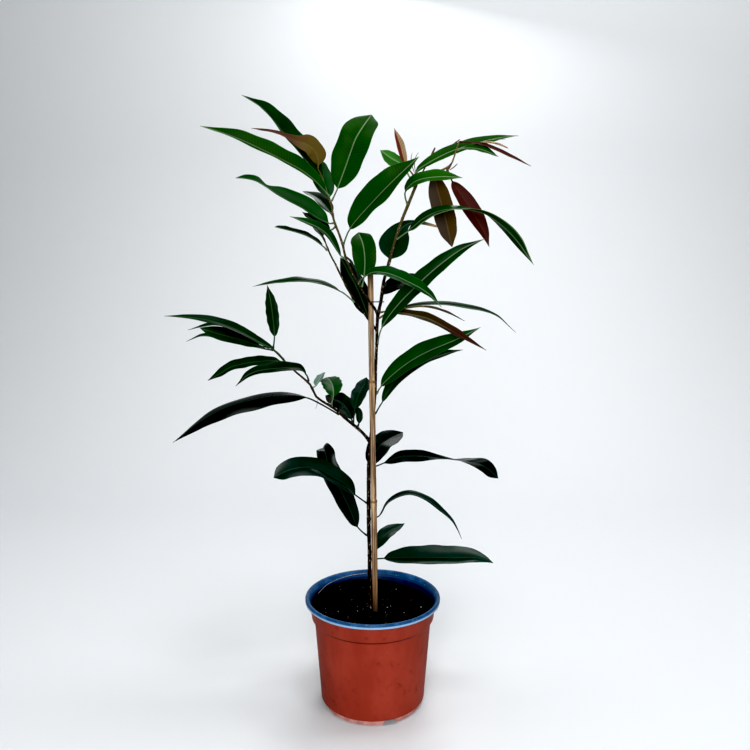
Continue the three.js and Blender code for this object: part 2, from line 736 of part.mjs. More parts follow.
// Tie: one turn of wire round the cane and the trunk.
function tieGeometry() {
  const share = (TIE_HEIGHT - CANE_FOOT[2]) / (CANE_TOP[2] - CANE_FOOT[2]);
  const cane = vector(CANE_FOOT).lerp(vector(CANE_TOP), share);
  const trunk = vector(STEMS.trunk.find((point) => point[2] === TIE_HEIGHT));
  const facing = Math.atan2(trunk.y - cane.y, trunk.x - cane.x);
  const reach = TIE_RADIUS + GAP + 0.3;
  const bends = [
    [cane, CANE_RADIUS + reach, facing + Math.PI],
    [trunk, TIE_TRUNK_RADIUS + reach, facing],
  ];
  const centres = bends.flatMap(([centre, radius, middle]) =>
    [-80, -40, 0, 40, 80].map((degrees) => {
      const turn = middle + THREE.MathUtils.degToRad(degrees);
      const across = centre.x + radius * Math.cos(turn);
      const back = centre.y + radius * Math.sin(turn);
      return new THREE.Vector3(across, back, TIE_HEIGHT);
    }),
  );
  const up = new THREE.Vector3(0, 0, 1);
  const rings = centres.map((centre, i) => {
    const next = centres[(i + 1) % centres.length];
    const previous = centres[(i + centres.length - 1) % centres.length];
    const along = next.clone().sub(previous).normalize();
    const outward = new THREE.Vector3().crossVectors(along, up);
    return Array.from({ length: 6 }, (_, side) => {
      const turn = (side / 6) * 2 * Math.PI;
      return centre
        .clone()
        .addScaledVector(up, TIE_RADIUS * Math.cos(turn))
        .addScaledVector(outward, TIE_RADIUS * Math.sin(turn));
    });
  });
  return hoop(rings);
}

function rootGeometry() {
  const route = smoothRoute(ROOT_ROUTE);
  const steps = 14;
  const rings = [];
  for (let step = 0; step <= steps; step++) {
    const share = step / steps;
    const tangent = route.getTangent(share);
    const up = new THREE.Vector3(0, 0, 1);
    up.addScaledVector(tangent, -up.dot(tangent)).normalize();
    const side = new THREE.Vector3().crossVectors(tangent, up);
    rings.push(
      Array.from({ length: 5 }, (_, corner) => {
        const turn = (corner / 5) * 2 * Math.PI;
        return route
          .getPoint(share)
          .addScaledVector(up, ROOT_RADIUS * Math.cos(turn))
          .addScaledVector(side, ROOT_RADIUS * Math.sin(turn));
      }),
    );
  }
  return loft(rings);
}

// Leaf: a thin stalk that widens into a long folded blade and ends in a drip tip.
function leafGeometry({ route, width, face, fold, twist = 0, outline = "long" }) {
  const curve = smoothRoute(route);
  curve.arcLengthDivisions = 400;
  const bladeStart = lengthTo(curve, 1 / (route.length - 1)) / curve.getLength();
  const stations = leafStations(curve, bladeStart, OUTLINES[outline]);
  const tangents = stations.map(({ share }) => curve.getTangentAt(share));
  const normals = leafNormals(tangents, stations.findIndex(({ blade }) => blade > 0.5), vector(face));
  const rings = stations.map(({ share, halfWidth, blade }, i) => {
    const turn = THREE.MathUtils.degToRad(twist * (blade - 0.5));
    const normal = normals[i].clone().applyAxisAngle(tangents[i], turn);
    return leafSection(curve.getPointAt(share), tangents[i], normal, halfWidth * width, fold, blade);
  });
  return loft(rings, null, curve.getPointAt(1));
}

// The way the upper side looks at each station, carried both ways along the midrib from mid blade.
function leafNormals(tangents, middle, face) {
  const normals = [];
  const carry = (from, i) => {
    normals[i] = from.clone().addScaledVector(tangents[i], -from.dot(tangents[i])).normalize();
  };
  carry(face, middle);
  for (let i = middle + 1; i < tangents.length; i++) carry(normals[i - 1], i);
  for (let i = middle - 1; i >= 0; i--) carry(normals[i + 1], i);
  return normals;
}

// Length of a curve from its start to a place given in its own measure.
function lengthTo(curve, measure) {
  const lengths = curve.getLengths(400);
  return lengths[Math.round(measure * 400)];
}

// Places along the leaf, as shares of its whole length: three on the stalk, then one for each outline point.
function leafStations(curve, bladeStart, outline) {
  let stalkStart = 0;
  while (!clearOfStems(curve.getPointAt(stalkStart), PETIOLE_RADIUS + GAP)) stalkStart += 0.002;
  const stations = [
    { share: stalkStart, halfWidth: 0, blade: 0 },
    { share: THREE.MathUtils.lerp(stalkStart, bladeStart, 0.5), halfWidth: 0, blade: 0 },
    { share: bladeStart, halfWidth: 0, blade: 0 },
  ];
  for (const [along, halfWidth] of outline)
    stations.push({
      share: THREE.MathUtils.lerp(bladeStart, 1, along),
      halfWidth: halfWidth / 2,
      blade: along,
    });
  return stations;
}

// Four corners: the rib's top, the right edge, its underside and the left edge. A stalk is flatter on top.
function leafSection(centre, tangent, normal, halfWidth, fold, blade) {
  const side = new THREE.Vector3().crossVectors(tangent, normal);
  const stalk = halfWidth === 0;
  const reach = stalk ? PETIOLE_RADIUS : Math.max(halfWidth, 0.5);
  const angle = stalk ? 0 : THREE.MathUtils.degToRad(fold);
  const across = reach * Math.cos(angle);
  const raised = reach * Math.sin(angle);
  const over = stalk ? PETIOLE_GROOVED : BLADE_RIB_OVER;
  const under = stalk ? PETIOLE_RADIUS : BLADE_RIB_UNDER * (1 - 0.7 * blade);
  return [
    centre.clone().addScaledVector(normal, over),
    centre.clone().addScaledVector(side, across).addScaledVector(normal, raised),
    centre.clone().addScaledVector(normal, -under),
    centre.clone().addScaledVector(side, -across).addScaledVector(normal, raised),
  ];
}

function piece(name, geometry, finish) {
  const mesh = new THREE.Mesh(geometry, new THREE.MeshStandardMaterial(FINISHES[finish]));
  mesh.name = name;
  return mesh;
}

const plant = new THREE.Group();
plant.add(piece("nursery_pot", potGeometry(), "terracotta"));
plant.add(piece("potting_soil", soilGeometry(), "peat"));
plant.add(piece("bamboo_cane", caneGeometry(0), "bamboo"));
plant.add(piece("stem", geometryOf(stemSolid(0)), "bark"));
plant.add(piece("tie", tieGeometry(), "tie"));
plant.add(piece("root_thread", rootGeometry(), "root"));
for (const [group, rows] of Object.entries(LEAVES))
  rows.forEach((row, i) => {
    const number = String(i + 1).padStart(2, "0");
    plant.add(piece(`leaf_${group}_${number}`, leafGeometry(row), row.finish));
  });

export default plant;
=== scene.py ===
import json
import math
import random
from typing import NamedTuple

import bmesh
import bpy
import numpy as np
from mathutils import Matrix, Vector, noise
from mathutils.kdtree import KDTree


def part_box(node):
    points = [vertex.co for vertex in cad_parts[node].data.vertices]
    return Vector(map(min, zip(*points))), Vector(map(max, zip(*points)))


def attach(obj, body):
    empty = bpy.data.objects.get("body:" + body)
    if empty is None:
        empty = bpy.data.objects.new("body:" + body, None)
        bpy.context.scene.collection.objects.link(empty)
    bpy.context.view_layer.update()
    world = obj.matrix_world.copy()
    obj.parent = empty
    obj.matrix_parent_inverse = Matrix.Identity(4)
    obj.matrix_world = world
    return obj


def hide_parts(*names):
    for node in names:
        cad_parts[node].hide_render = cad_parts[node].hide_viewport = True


# A long-leaved fig in a nursery pot, tied to a bamboo cane: the fine shape and the finish of every piece.
# Metres, +Z up, with the origin at the centre of the pot's underside and the plant's front towards -Y.
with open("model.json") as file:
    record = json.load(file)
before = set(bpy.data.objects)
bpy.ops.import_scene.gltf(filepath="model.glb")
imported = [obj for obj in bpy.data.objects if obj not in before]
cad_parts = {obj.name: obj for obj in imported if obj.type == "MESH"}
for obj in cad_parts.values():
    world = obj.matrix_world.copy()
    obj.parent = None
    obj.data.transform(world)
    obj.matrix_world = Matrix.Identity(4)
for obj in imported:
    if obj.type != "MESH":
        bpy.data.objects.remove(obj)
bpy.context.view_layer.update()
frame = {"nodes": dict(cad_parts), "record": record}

MM = 0.001
SEED = 17
# A turn drawn at random, in radians.
ANY_TURN = (0, 6.28)

# Pot
POT_SIDES = 160
RIM_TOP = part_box("nursery_pot")[1].z
LIP_HEIGHT = 6 * MM
LIP_INSIDE = 79.5 * MM
INNER_SIDE = 80.6 * MM
# Radius and height in millimetres: up the outside of the wall from the pad that the pot stands on, over the
# lip, and down the inside.
POT_OUTSIDE = [
    (18, 0), (19.6, 3.6), (20.4, 4), (56.2, 4), (57, 3.6), (58.6, 0.2), (59, 0), (61.2, 0), (61.6, 0.3),
    (62.4, 6), (64.6, 6.8), (65.5, 7.6), (73.2, 106), (73.6, 108.4), (76.2, 110.8), (77, 112),
    (79.3, 130), (79.9, 131),
]
POT_LIP = [
    (84.2, 131), (84.8, 131.5), (85, 132.4), (85, 135.2), (84.7, 136.3), (83.8, 137), (82, 136.9),
    (80.6, 136.2),
]
POT_INSIDE = [
    (78.6, 131.8), (78, 130.6), (75.8, 112.4), (75.2, 111.4), (72.6, 108.6), (72.1, 107.6),
    (64, 9.4), (63.2, 6.6), (60.4, 5.3), (19, 5.3), (17, 2),
]
FOOT_RING_RADIUS = 61 * MM
FLOOR_TOP = 5 * MM
NOTCH_WIDTH = 21 * MM
NOTCH_TAPER = 5 * MM
NOTCH_REACH = 10 * MM
NOTCH_UNDERCUT = 2 * MM
NOTCH_HEIGHT = 6 * MM
NOTCH_ROUNDING = 1.2 * MM
NOTCH_TURN = math.radians(-70)
NOTCH_COUNT = 4
DRAIN_RADIUS = 4.5 * MM
DRAIN_CIRCLE = 44 * MM
DRAIN_COUNT = 8
DRAIN_CUT = 20 * MM
# Painted shade lines round the pot, painted highlights on the lip and on the step inside it, and the soil's
# splashes inside the pot: their heights, and the radii of the lip's outer face.
FOOT_SHADE_LINE = 7.1 * MM
COLLAR_SHADE_LINE = 109.6 * MM
LIP_HIGHLIGHT_FADE = (133.4 * MM, 134.6 * MM)
LIP_OUTER = (84.2 * MM, 84.7 * MM)
LIP_STEP_HIGHLIGHT = 130.4 * MM
SPLASH_HEIGHT = 6 * MM

# Soil
SOIL_LEVEL = 123 * MM
SOIL_SLOPE = (-0.045, 0.03)
SOIL_RADIUS = 77 * MM
SOIL_LUMP = 1.7 * MM
SOIL_LUMP_SCALE = 70
SOIL_CRUMB = 1.4 * MM
SOIL_CRUMB_SCALE = 330
SOIL_HOLLOW = 2.2 * MM
SOIL_HOLLOW_RADIUS = 30 * MM
# From the middle of the surface (0) over its edge (0.5) to the middle of the floor (1): the radius, and the
# depth under the surface, in millimetres.
SOIL_RADII = ((0, 0), (0.5, 77), (0.53, 75.4), (0.6, 71.6), (0.9, 61), (1, 0))
SOIL_DEPTHS = ((0.5, 0), (0.53, -11), (0.6, -16), (0.9, -115), (1, -117))
# What lies on the soil, with its sizes and places in millimetres.
CLOD_COUNT = 520
CLOD_SIZES = (0.8, 2.6)
PERLITE_COUNT = 110
PERLITE_SPREAD = 66 * MM
CRUMB_COUNT = 30
CRUMB_SIZES = (1.2, 3.2)
CRUMB_PLACES = (30, 74)
FIBRE_COUNT = 14
FIBRE_PLACES = (12, 60)
FIBRE_LIFTS = (0.6, 2.2)
FIBRE_RADII = (0.18, 0.4)
FIBRE_POINTS = 6
FIBRE_STEP = 4 * MM
FIBRE_LIMIT = 70 * MM

# Cane
CANE_SIDES = 40
# All in millimetres: the radius near the foot and what it loses for each one up, the soft waves of the skin,
# the cut ends with the hole at the top, and the step between rings.
CANE_RADIUS = 3.62
CANE_TAPER = 0.0003
CANE_WAVE = 0.05
CANE_WAVE_LENGTH = 31
CANE_FOOT_RADIUS = 2.6
CANE_TOP_CHAMFER = (0.35, 0.4)
CANE_HOLE_RADII = (1.5, 1.3)
CANE_HOLE_DEPTH = 6
CANE_STEP = 6
# The heights of the joints and the rings that each needs around it, and its swelling, lower skirt and groove:
# how far each rises, how high over the joint it is, and how far it spreads.
CANE_JOINTS = (114, 262, 410)
JOINT_RINGS = (-5, -3, -1.6, -0.8, 0, 0.8, 1.6, 2.4, 3.2, 4.2, 5.4)
JOINT_RELIEF = ((0.62, 0, 1.6), (0.35, -4, 4.5), (-0.3, 3.4, 1.2))

# Stem
STEM_VOXEL = 0.45 * MM
# Millimetres: the heights of the leaf scars round the trunk.
STEM_RINGS = (152, 168, 189, 214, 236, 251, 283, 305, 341, 358, 381, 402, 437, 455)
NODE_RISE = 0.45 * MM
NODE_SPREAD = 3.2 * MM
SCAR_RISE = 0.28 * MM
SCAR_SPREAD = 0.8
SCAR_TOP = 470 * MM
SCAR_SIDE = 8 * MM
BARK_RISE = 0.12 * MM
BARK_SCALE = 500
# Places in millimetres along each strand, and its radius.
SHOOT_BUDS = [
    ([(54.5, -9, 650), (62, 1, 664), (69, 6, 678)], 1.3),
    ([(69, 6, 677), (72, 6.5, 683), (74.5, 6.5, 689)], 1.9),
    ([(85.5, -16, 656), (89, -16.5, 661), (92.5, -17, 667.5)], 1.9),
    ([(90, -16, 659), (95, -16, 662), (99, -16, 666)], 0.8),
    ([(53, -11, 650), (42, -13, 668), (46.3, -14, 678.5)], 0.6),
    ([(53, -11, 650), (45, -13, 669), (53.5, -14, 679)], 0.6),
    ([(86, 3, 684), (96, 7, 693), (104, 6.5, 698.5)], 1.2),
    ([(-54, -12, 383), (-49, -15, 388), (-50, -14, 394)], 1.5),
    ([(-65, -14.5, 390), (-69, -15, 391), (-71.5, -14, 398)], 1.4),
    ([(-66, -14.5, 390), (-66.5, -16, 383), (-69, -16, 377)], 0.4),
]
DRY_HUSKS = [
    ([(126, -20, 689), (137, -20, 691), (146, -19.5, 688.5), (157, -19, 683)], 1.5),
    ([(128, -20, 691), (140, -20.5, 693.5), (154, -20, 692.5)], 0.5),
]

# Leaves
BLADE_ACROSS = 24
BLADE_ALONG = 110
RIB_SIDES = 10
RIB_RINGS = 70
BLADE_THICKNESS = 0.4 * MM
RIB_OVER = 0.25 * MM
# Millimetres between the lateral veins, and how far they lean towards the tip.
VEIN_SPACING = 3.6
VEIN_LEAN = 0.5
VEIN_RISE = 0.003 * MM
LEAST_REACH = 0.2 * MM
# Shares of the blade's half width: the crown of each half, the margin's waves up and down, and the margin's
# dips inward; then how many waves a margin has, and how much thinner it is than the middle.
CAMBERS = (0.035, 0.07)
WAVES = (0.02, 0.07)
DIPS = (0.01, 0.045)
WAVE_TURNS = (1.6, 3.6)
EDGE_THINNING = 0.55
# Rings of a frame leaf that belong to its stalk.
STALK_RINGS = 3
# Half width and depth of the stalk and the midrib in millimetres, by the share of the blade's length.
RIB_PLACES = (-0.3, -0.02, 0.04, 0.5, 1)
RIB_WIDTHS = (0.95, 0.85, 0.66, 0.47, 0.12)
RIB_DEPTHS = (0.95, 0.9, 0.8, 0.5, 0.14)
RIB_FOOT = 2.2 * MM

# Studio
FLOOR_WIDTH = 9
FLOOR_FRONT = -5
WALL_BACK = 1.9
WALL_HEIGHT = 5
SWEEP = 1.1
PLANT_MIDDLE = (0, 0, 0.4)
WARM = (1, 0.99, 0.97)
COOL = (0.95, 0.98, 1)
AIR_COLOUR = (0.85, 0.9, 0.95, 1)
AIR_STRENGTH = 0.14
CAMERA_PLACE = (2.9 * MM, -0.853, 0.508)
CAMERA_DIP = math.radians(6.1)
CAMERA_LENS = 33.6
GAMMA = 0.8
BLACK_LEVEL = 0.018


# ---------------------------------------------------------------- shader sums


class Number:
    """A number that changes over a surface, so that shader sums are written as Python expressions."""

    def __init__(self, paint, socket):
        self.paint = paint
        self.socket = socket

    def sum(self, operation, *values):
        maths = self.paint.node("ShaderNodeMath", {"operation": operation}, dict(enumerate(values)))
        return Number(self.paint, maths.outputs[0])

    def __add__(self, other):
        return self.sum("ADD", self, other)

    __radd__ = __add__

    def __sub__(self, other):
        return self.sum("SUBTRACT", self, other)

    def __rsub__(self, other):
        return self.sum("SUBTRACT", other, self)

    def __mul__(self, other):
        return self.sum("MULTIPLY", self, other)

    __rmul__ = __mul__

    def __truediv__(self, other):
        return self.sum("DIVIDE", self, other)

    def __abs__(self):
        return self.sum("ABSOLUTE", self)

    def __mod__(self, other):
        return self.sum("FLOORED_MODULO", self, other)

    def rise(self, low, high):
        """0 where the number is under low and 1 where it is over high, with a smooth step between them."""
        step = self.paint.node(
            "ShaderNodeMapRange",
            {"interpolation_type": "SMOOTHSTEP"},
            {"Value": self, "From Min": low, "From Max": high},
        )
        return Number(self.paint, step.outputs[0])


class Paint:
    """The nodes of one material."""

    def __init__(self, name):
        self.material = bpy.data.materials.new(name)
        self.material.use_nodes = True
        self.tree = self.material.node_tree
        self.shader = self.tree.nodes["Principled BSDF"]
        self.place = self.node("ShaderNodeTexCoord").outputs["Object"]

    def node(self, kind, settings=None, inputs=None):
        made = self.tree.nodes.new(kind)
        for name, value in (settings or {}).items():
            setattr(made, name, value)
        for name, value in (inputs or {}).items():
            self.set(made.inputs[name], value)
        return made

    def set(self, socket, value):
        if isinstance(value, Number):
            value = value.socket
        if isinstance(value, bpy.types.NodeSocket):
            self.tree.links.new(value, socket)
        else:
            socket.default_value = value

    def stretched(self, along):
        """The place on the piece with each axis scaled, so that a pattern is longer along some of them."""
        return self.node("ShaderNodeMapping", None, {"Vector": self.place, "Scale": along}).outputs[0]

    def clouds(self, scale, detail=3, rough=0.55, place=None):
        made = self.node(
            "ShaderNodeTexNoise",
            None,
            {"Vector": place or self.place, "Scale": scale, "Detail": detail, "Roughness": rough},
        )
        return Number(self, made.outputs[0])

    def cells(self, scale, place=None, feature="F1"):
        made = self.node(
            "ShaderNodeTexVoronoi", {"feature": feature}, {"Vector": place or self.place, "Scale": scale}
        )
        return Number(self, made.outputs["Distance"])

    def parts(self, vector):
        """The three numbers of a vector."""
        split = self.node("ShaderNodeSeparateXYZ", None, {0: vector})
        return [Number(self, part) for part in split.outputs]

    def attribute(self, name):
        return self.parts(self.node("ShaderNodeAttribute", {"attribute_name": name}).outputs["Vector"])

    def mix(self, share, first, second):
        blend = self.node("ShaderNodeMix", {"data_type": "RGBA"})
        self.set(blend.inputs[0], share)
        self.set(blend.inputs[6], tint(first))
        self.set(blend.inputs[7], tint(second))
        return blend.outputs[2]

    def bump(self, height, distance, strength=1.0):
        made = self.node(
            "ShaderNodeBump", None, {"Height": height, "Distance": distance, "Strength": strength}
        )
        self.set(self.shader.inputs["Normal"], made.outputs[0])

    def finish(self, colour, roughness, **fixed):
        self.set(self.shader.inputs["Base Color"], tint(colour))
        self.set(self.shader.inputs["Roughness"], roughness)
        for name, value in fixed.items():
            self.shader.inputs[name.replace("_", " ")].default_value = value
        return self.material


def tint(colour):
    """A shader colour from a screen colour such as "#964a2a"; anything else is passed on."""
    if not isinstance(colour, str):
        return colour
    screen = [int(colour[i : i + 2], 16) / 255 for i in (1, 3, 5)]
    return (*(s / 12.92 if s <= 0.04045 else ((s + 0.055) / 1.055) ** 2.4 for s in screen), 1)


# ---------------------------------------------------------------- modelling


def only(piece):
    """Leaves one piece selected and active."""
    bpy.ops.object.select_all(action="DESELECT")
    piece.select_set(True)
    bpy.context.view_layer.objects.active = piece
    return piece


def added(name, primitive, **settings):
    """A primitive, added with nothing else selected."""
    bpy.ops.object.select_all(action="DESELECT")
    primitive(**settings)
    piece = bpy.context.object
    piece.name = name
    return piece


def modified(piece, kind, **settings):
    """The piece with one modifier applied."""
    only(piece)
    modifier = piece.modifiers.new(kind.title(), kind)
    for name, value in settings.items():
        setattr(modifier, name, value)
    bpy.ops.object.modifier_apply(modifier=modifier.name)
    return piece


def smoothed(piece, angle=50):
    only(piece)
    bpy.ops.object.shade_smooth_by_angle(angle=math.radians(angle))
    return piece


def tidied(piece, merge=1e-6):
    """The piece with its doubles merged and its faces turned outwards."""
    only(piece)
    bpy.ops.object.mode_set(mode="EDIT")
    bpy.ops.mesh.select_all(action="SELECT")
    bpy.ops.mesh.remove_doubles(threshold=merge)
    bpy.ops.mesh.normals_make_consistent(inside=False)
    bpy.ops.object.mode_set(mode="OBJECT")
    return piece


def ringed(name, sides, rings):
    """A closed turned shape about the upright axis: a filled circle, extruded to each (radius, height)."""
    radius, height = rings[0]
    piece = added(
        name,
        bpy.ops.mesh.primitive_circle_add,
        vertices=sides,
        radius=radius,
        fill_type="NGON",
        location=(0, 0, height),
    )
    only(piece)
    bpy.ops.object.transform_apply(location=True)
    bpy.ops.object.mode_set(mode="EDIT")
    bpy.ops.mesh.select_all(action="SELECT")
    for next_radius, next_height in rings[1:]:
        bpy.ops.mesh.extrude_region_move(TRANSFORM_OT_translate={"value": (0, 0, next_height - height)})
        size = next_radius / radius
        bpy.ops.transform.resize(value=(size, size, 1), center_override=(0, 0, next_height))
        radius, height = next_radius, next_height
    bpy.ops.object.mode_set(mode="OBJECT")
    return tidied(piece, 1e-7)


def copied(node, name):
    """A copy of a frame node with its doubles merged."""
    piece = bpy.data.objects.new(name, frame["nodes"][node].data.copy())
    bpy.context.scene.collection.objects.link(piece)
    only(piece)
    bpy.ops.mesh.customdata_custom_splitnormals_clear()
    return tidied(piece)


def points_of(piece):
    places = np.empty(len(piece.data.vertices) * 3)
    piece.data.vertices.foreach_get("co", places)
    return places.reshape(-1, 3)


def moved_to(piece, places):
    piece.data.vertices.foreach_set("co", np.asarray(places, dtype=float).ravel())
    piece.data.update()
    return piece


def placed(piece, matrix):
    """The piece with a place and a turn applied to its mesh."""
    piece.data.transform(matrix)
    piece.data.update()
    return piece


def joined(name, pieces):
    bpy.ops.object.select_all(action="DESELECT")
    for piece in pieces:
        piece.select_set(True)
    bpy.context.view_layer.objects.active = pieces[0]
    bpy.ops.object.join()
    pieces[0].name = name
    return pieces[0]


def given(piece, materials, replaces=()):
    """A finished piece: its materials, its body and the nodes it replaces."""
    piece.data.materials.clear()
    for material in materials:
        piece.data.materials.append(material)
    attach(piece, "root")
    if replaces:
        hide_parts(*replaces)
    return piece


def repeated(name, blank, matrices):
    """One piece made of a copy of the blank at each place."""
    gathered = bmesh.new()
    for matrix in matrices:
        copy = blank.data.copy()
        copy.transform(matrix)
        gathered.from_mesh(copy)
        bpy.data.meshes.remove(copy)
    piece = bpy.data.objects.new(name, bpy.data.meshes.new(name))
    gathered.to_mesh(piece.data)
    gathered.free()
    bpy.context.scene.collection.objects.link(piece)
    bpy.data.objects.remove(blank)
    return piece


def pointing(place, direction, turn=0.0, size=(1, 1, 1)):
    """A matrix that puts a shape at a place with its upright axis along a direction."""
    lean = Vector((0, 0, 1)).rotation_difference(Vector(direction)).to_matrix().to_4x4()
    return (
        Matrix.Translation(place) @ lean @ Matrix.Rotation(turn, 4, "Z") @ Matrix.Diagonal((*size, 1))
    )


# ---------------------------------------------------------------- pot


def terracotta_plastic():
    paint = Paint("terracotta_plastic")
    z = paint.parts(paint.place)[2]
    smears = paint.clouds(22, 4, place=paint.stretched((1, 1, 0.45)))
    grime = paint.clouds(70, 5, 0.65)
    colour = paint.mix(smears.rise(0.35, 0.75), "#86382b", "#984638")
    colour = paint.mix((grime.rise(0.56, 0.72) * 0.45), colour, "#5c241c")
    foot = 1 - z.rise(6.4 * MM, 7.2 * MM)
    colour = paint.mix(foot * (0.55 + grime.rise(0.4, 0.6) * 0.4), colour, "#bc9490")
    # Painted shade: a dark line in the gap between the pot's body and its foot ring.
    foot_shade = 1 - abs(z - FOOT_SHADE_LINE).rise(0.3 * MM, 0.9 * MM)
    colour = paint.mix(foot_shade * 0.85, colour, "#30100c")
    # Painted shade: a dark line on the downward face of the collar's step.
    groove = 1 - abs(z - COLLAR_SHADE_LINE).rise(0.7 * MM, 1.8 * MM)
    colour = paint.mix(groove * 0.8, colour, "#3e120c")
    paint.bump(paint.clouds(900, 2) * 0.5 + smears, 0.06 * MM, 0.4)
    return paint.finish(colour, 0.42 + grime * 0.16, Specular_IOR_Level=0.07)


def rim_plastic():
    paint = Paint("blue_rim_plastic")
    wear = paint.clouds(90, 5, 0.6)
    x, y, z = paint.parts(paint.place)
    colour = paint.mix(wear.rise(0.4, 0.7), "#1c4870", "#2f618c")
    # Painted highlight: a pale band on the lower part of the lip's outer face, fading out above.
    outer = (x * x + y * y).rise(*(radius**2 for radius in LIP_OUTER))
    colour = paint.mix(outer * (1 - z.rise(*LIP_HIGHLIGHT_FADE)) * 0.75, colour, "#9ab8d2")
    colour = paint.mix(paint.clouds(260, 3).rise(0.6, 0.72) * 0.35, colour, "#7d98b4")
    paint.bump(wear, 0.05 * MM, 0.3)
    return paint.finish(colour, 0.34 + wear * 0.12, Specular_IOR_Level=0.2)


def inner_plastic():
    paint = Paint("navy_inner_plastic")
    dust = paint.clouds(120, 5, 0.65)
    z = paint.parts(paint.place)[2]
    colour = paint.mix(dust.rise(0.35, 0.7), "#081c3e", "#10305c")
    # Painted highlight: a pale line along the step inside the lip.
    step = 1 - abs(z - LIP_STEP_HIGHLIGHT).rise(0.5 * MM, 1.3 * MM)
    colour = paint.mix(step * 0.6, colour, "#2c568a")
    crumbs = (1 - z.rise(SOIL_LEVEL, SOIL_LEVEL + SPLASH_HEIGHT)) * dust.rise(0.4, 0.6)
    colour = paint.mix(crumbs * 0.8, colour, "#120f12")
    paint.bump(dust, 0.05 * MM, 0.3)
    return paint.finish(colour, 0.45, Specular_IOR_Level=0.15)


def foot_cutter(turn):
    """The arched opening through the foot ring where water runs out."""
    cutter = added("cutter", bpy.ops.mesh.primitive_cube_add, size=1)
    for corner in cutter.data.vertices:
        width = NOTCH_WIDTH / 2 if corner.co.z < 0 else NOTCH_WIDTH / 2 - NOTCH_TAPER
        corner.co.y = math.copysign(width, corner.co.y)
        corner.co.x = FOOT_RING_RADIUS + corner.co.x * NOTCH_REACH
        corner.co.z = -NOTCH_UNDERCUT if corner.co.z < 0 else NOTCH_HEIGHT
    modified(cutter, "BEVEL", width=NOTCH_ROUNDING, segments=3, limit_method="ANGLE")
    return placed(cutter, Matrix.Rotation(turn, 4, "Z"))


def drain_cutter(turn):
    place = Matrix.Rotation(turn, 4, "Z") @ Vector((DRAIN_CIRCLE, 0, 0))
    cutter = added(
        "cutter",
        bpy.ops.mesh.primitive_cylinder_add,
        vertices=28,
        radius=DRAIN_RADIUS,
        depth=DRAIN_CUT,
    )
    return placed(cutter, Matrix.Translation(place))


def nursery_pot():
    profile = [(radius * MM, height * MM) for radius, height in POT_OUTSIDE + POT_LIP + POT_INSIDE]
    pot = ringed("nursery_pot_shell", POT_SIDES, profile)
    cutters = [foot_cutter(NOTCH_TURN + i * 2 * math.pi / NOTCH_COUNT) for i in range(NOTCH_COUNT)]
    cutters += [drain_cutter(i * 2 * math.pi / DRAIN_COUNT) for i in range(DRAIN_COUNT)]
    for cutter in cutters:
        modified(pot, "BOOLEAN", object=cutter, operation="DIFFERENCE", solver="EXACT")
        bpy.data.objects.remove(cutter)
    smoothed(pot, 40)
    given(pot, [terracotta_plastic(), rim_plastic(), inner_plastic()], ["nursery_pot"])
    lip_foot = RIM_TOP - LIP_HEIGHT
    for face in pot.data.polygons:
        centre = face.center
        out = math.hypot(centre.x, centre.y)
        wall_facing = face.normal.x * centre.x + face.normal.y * centre.y
        if centre.z > lip_foot - 0.1 * MM and out > LIP_INSIDE:
            face.material_index = 1
        elif centre.z > FLOOR_TOP and (wall_facing < 0 or centre.z > lip_foot) and out < INNER_SIDE:
            face.material_index = 2
    return pot


# ---------------------------------------------------------------- soil


def soil_height(x, y):
    """The soil's surface: a gentle slope, soft lumps and crumbs."""
    lumps = noise.fractal(Vector((x, y, 0)) * SOIL_LUMP_SCALE, 1.0, 2.0, 4)
    crumbs = noise.turbulence(Vector((x, y, 0.3)) * SOIL_CRUMB_SCALE, 3, False)
    sunk = SOIL_HOLLOW * max(0, 1 - math.hypot(x, y) / SOIL_HOLLOW_RADIUS)
    level = SOIL_LEVEL + SOIL_SLOPE[0] * x + SOIL_SLOPE[1] * y
    return level + lumps * SOIL_LUMP + crumbs * SOIL_CRUMB - sunk


def moist_peat():
    paint = Paint("moist_peat")
    clods = paint.clouds(160, 6, 0.7)
    grains = paint.cells(520)
    colour = paint.mix(clods.rise(0.35, 0.7), "#020202", "#0c0908")
    colour = paint.mix(paint.clouds(420, 2).rise(0.6, 0.75) * 0.5, colour, "#241a14")
    paint.bump(clods + grains * 0.6, 1.2 * MM, 1.0)
    return paint.finish(colour, 0.82 + clods * 0.15, Specular_IOR_Level=0.05)


def perlite_grain():
    paint = Paint("perlite_grain")
    dirt = paint.clouds(500, 3)
    colour = paint.mix(dirt.rise(0.4, 0.65), "#a8a59d", "#5a5752")
    paint.bump(paint.clouds(1800, 2), 0.15 * MM, 0.6)
    return paint.finish(colour, 0.9)


def bark_crumb():
    paint = Paint("bark_crumb")
    grain = paint.clouds(400, 4)
    colour = paint.mix(grain.rise(0.35, 0.7), "#140c09", "#3c2a1e")
    paint.bump(grain, 0.3 * MM, 0.8)
    return paint.finish(colour, 0.85)


def potting_soil():
    """A ball pressed into the pot: its upper half is the soil's surface and its lower half fills the pot."""
    soil = added("soil_bed", bpy.ops.mesh.primitive_uv_sphere_add, segments=200, ring_count=150, radius=1)
    places = points_of(soil)
    polar = np.arccos(np.clip(places[:, 2], -1, 1)) / math.pi
    turns = np.arctan2(places[:, 1], places[:, 0])
    radius = np.interp(polar, *zip(*SOIL_RADII)) * MM
    depth = np.interp(polar, *zip(*SOIL_DEPTHS)) * MM
    places[:, 0] = radius * np.cos(turns)
    places[:, 1] = radius * np.sin(turns)
    for place, low, share in zip(places, depth, polar):
        place[2] = soil_height(place[0], place[1]) if share <= 0.501 else SOIL_LEVEL + low
    moved_to(soil, places)
    smoothed(soil, 80)
    return given(soil, [moist_peat()], ["potting_soil"])


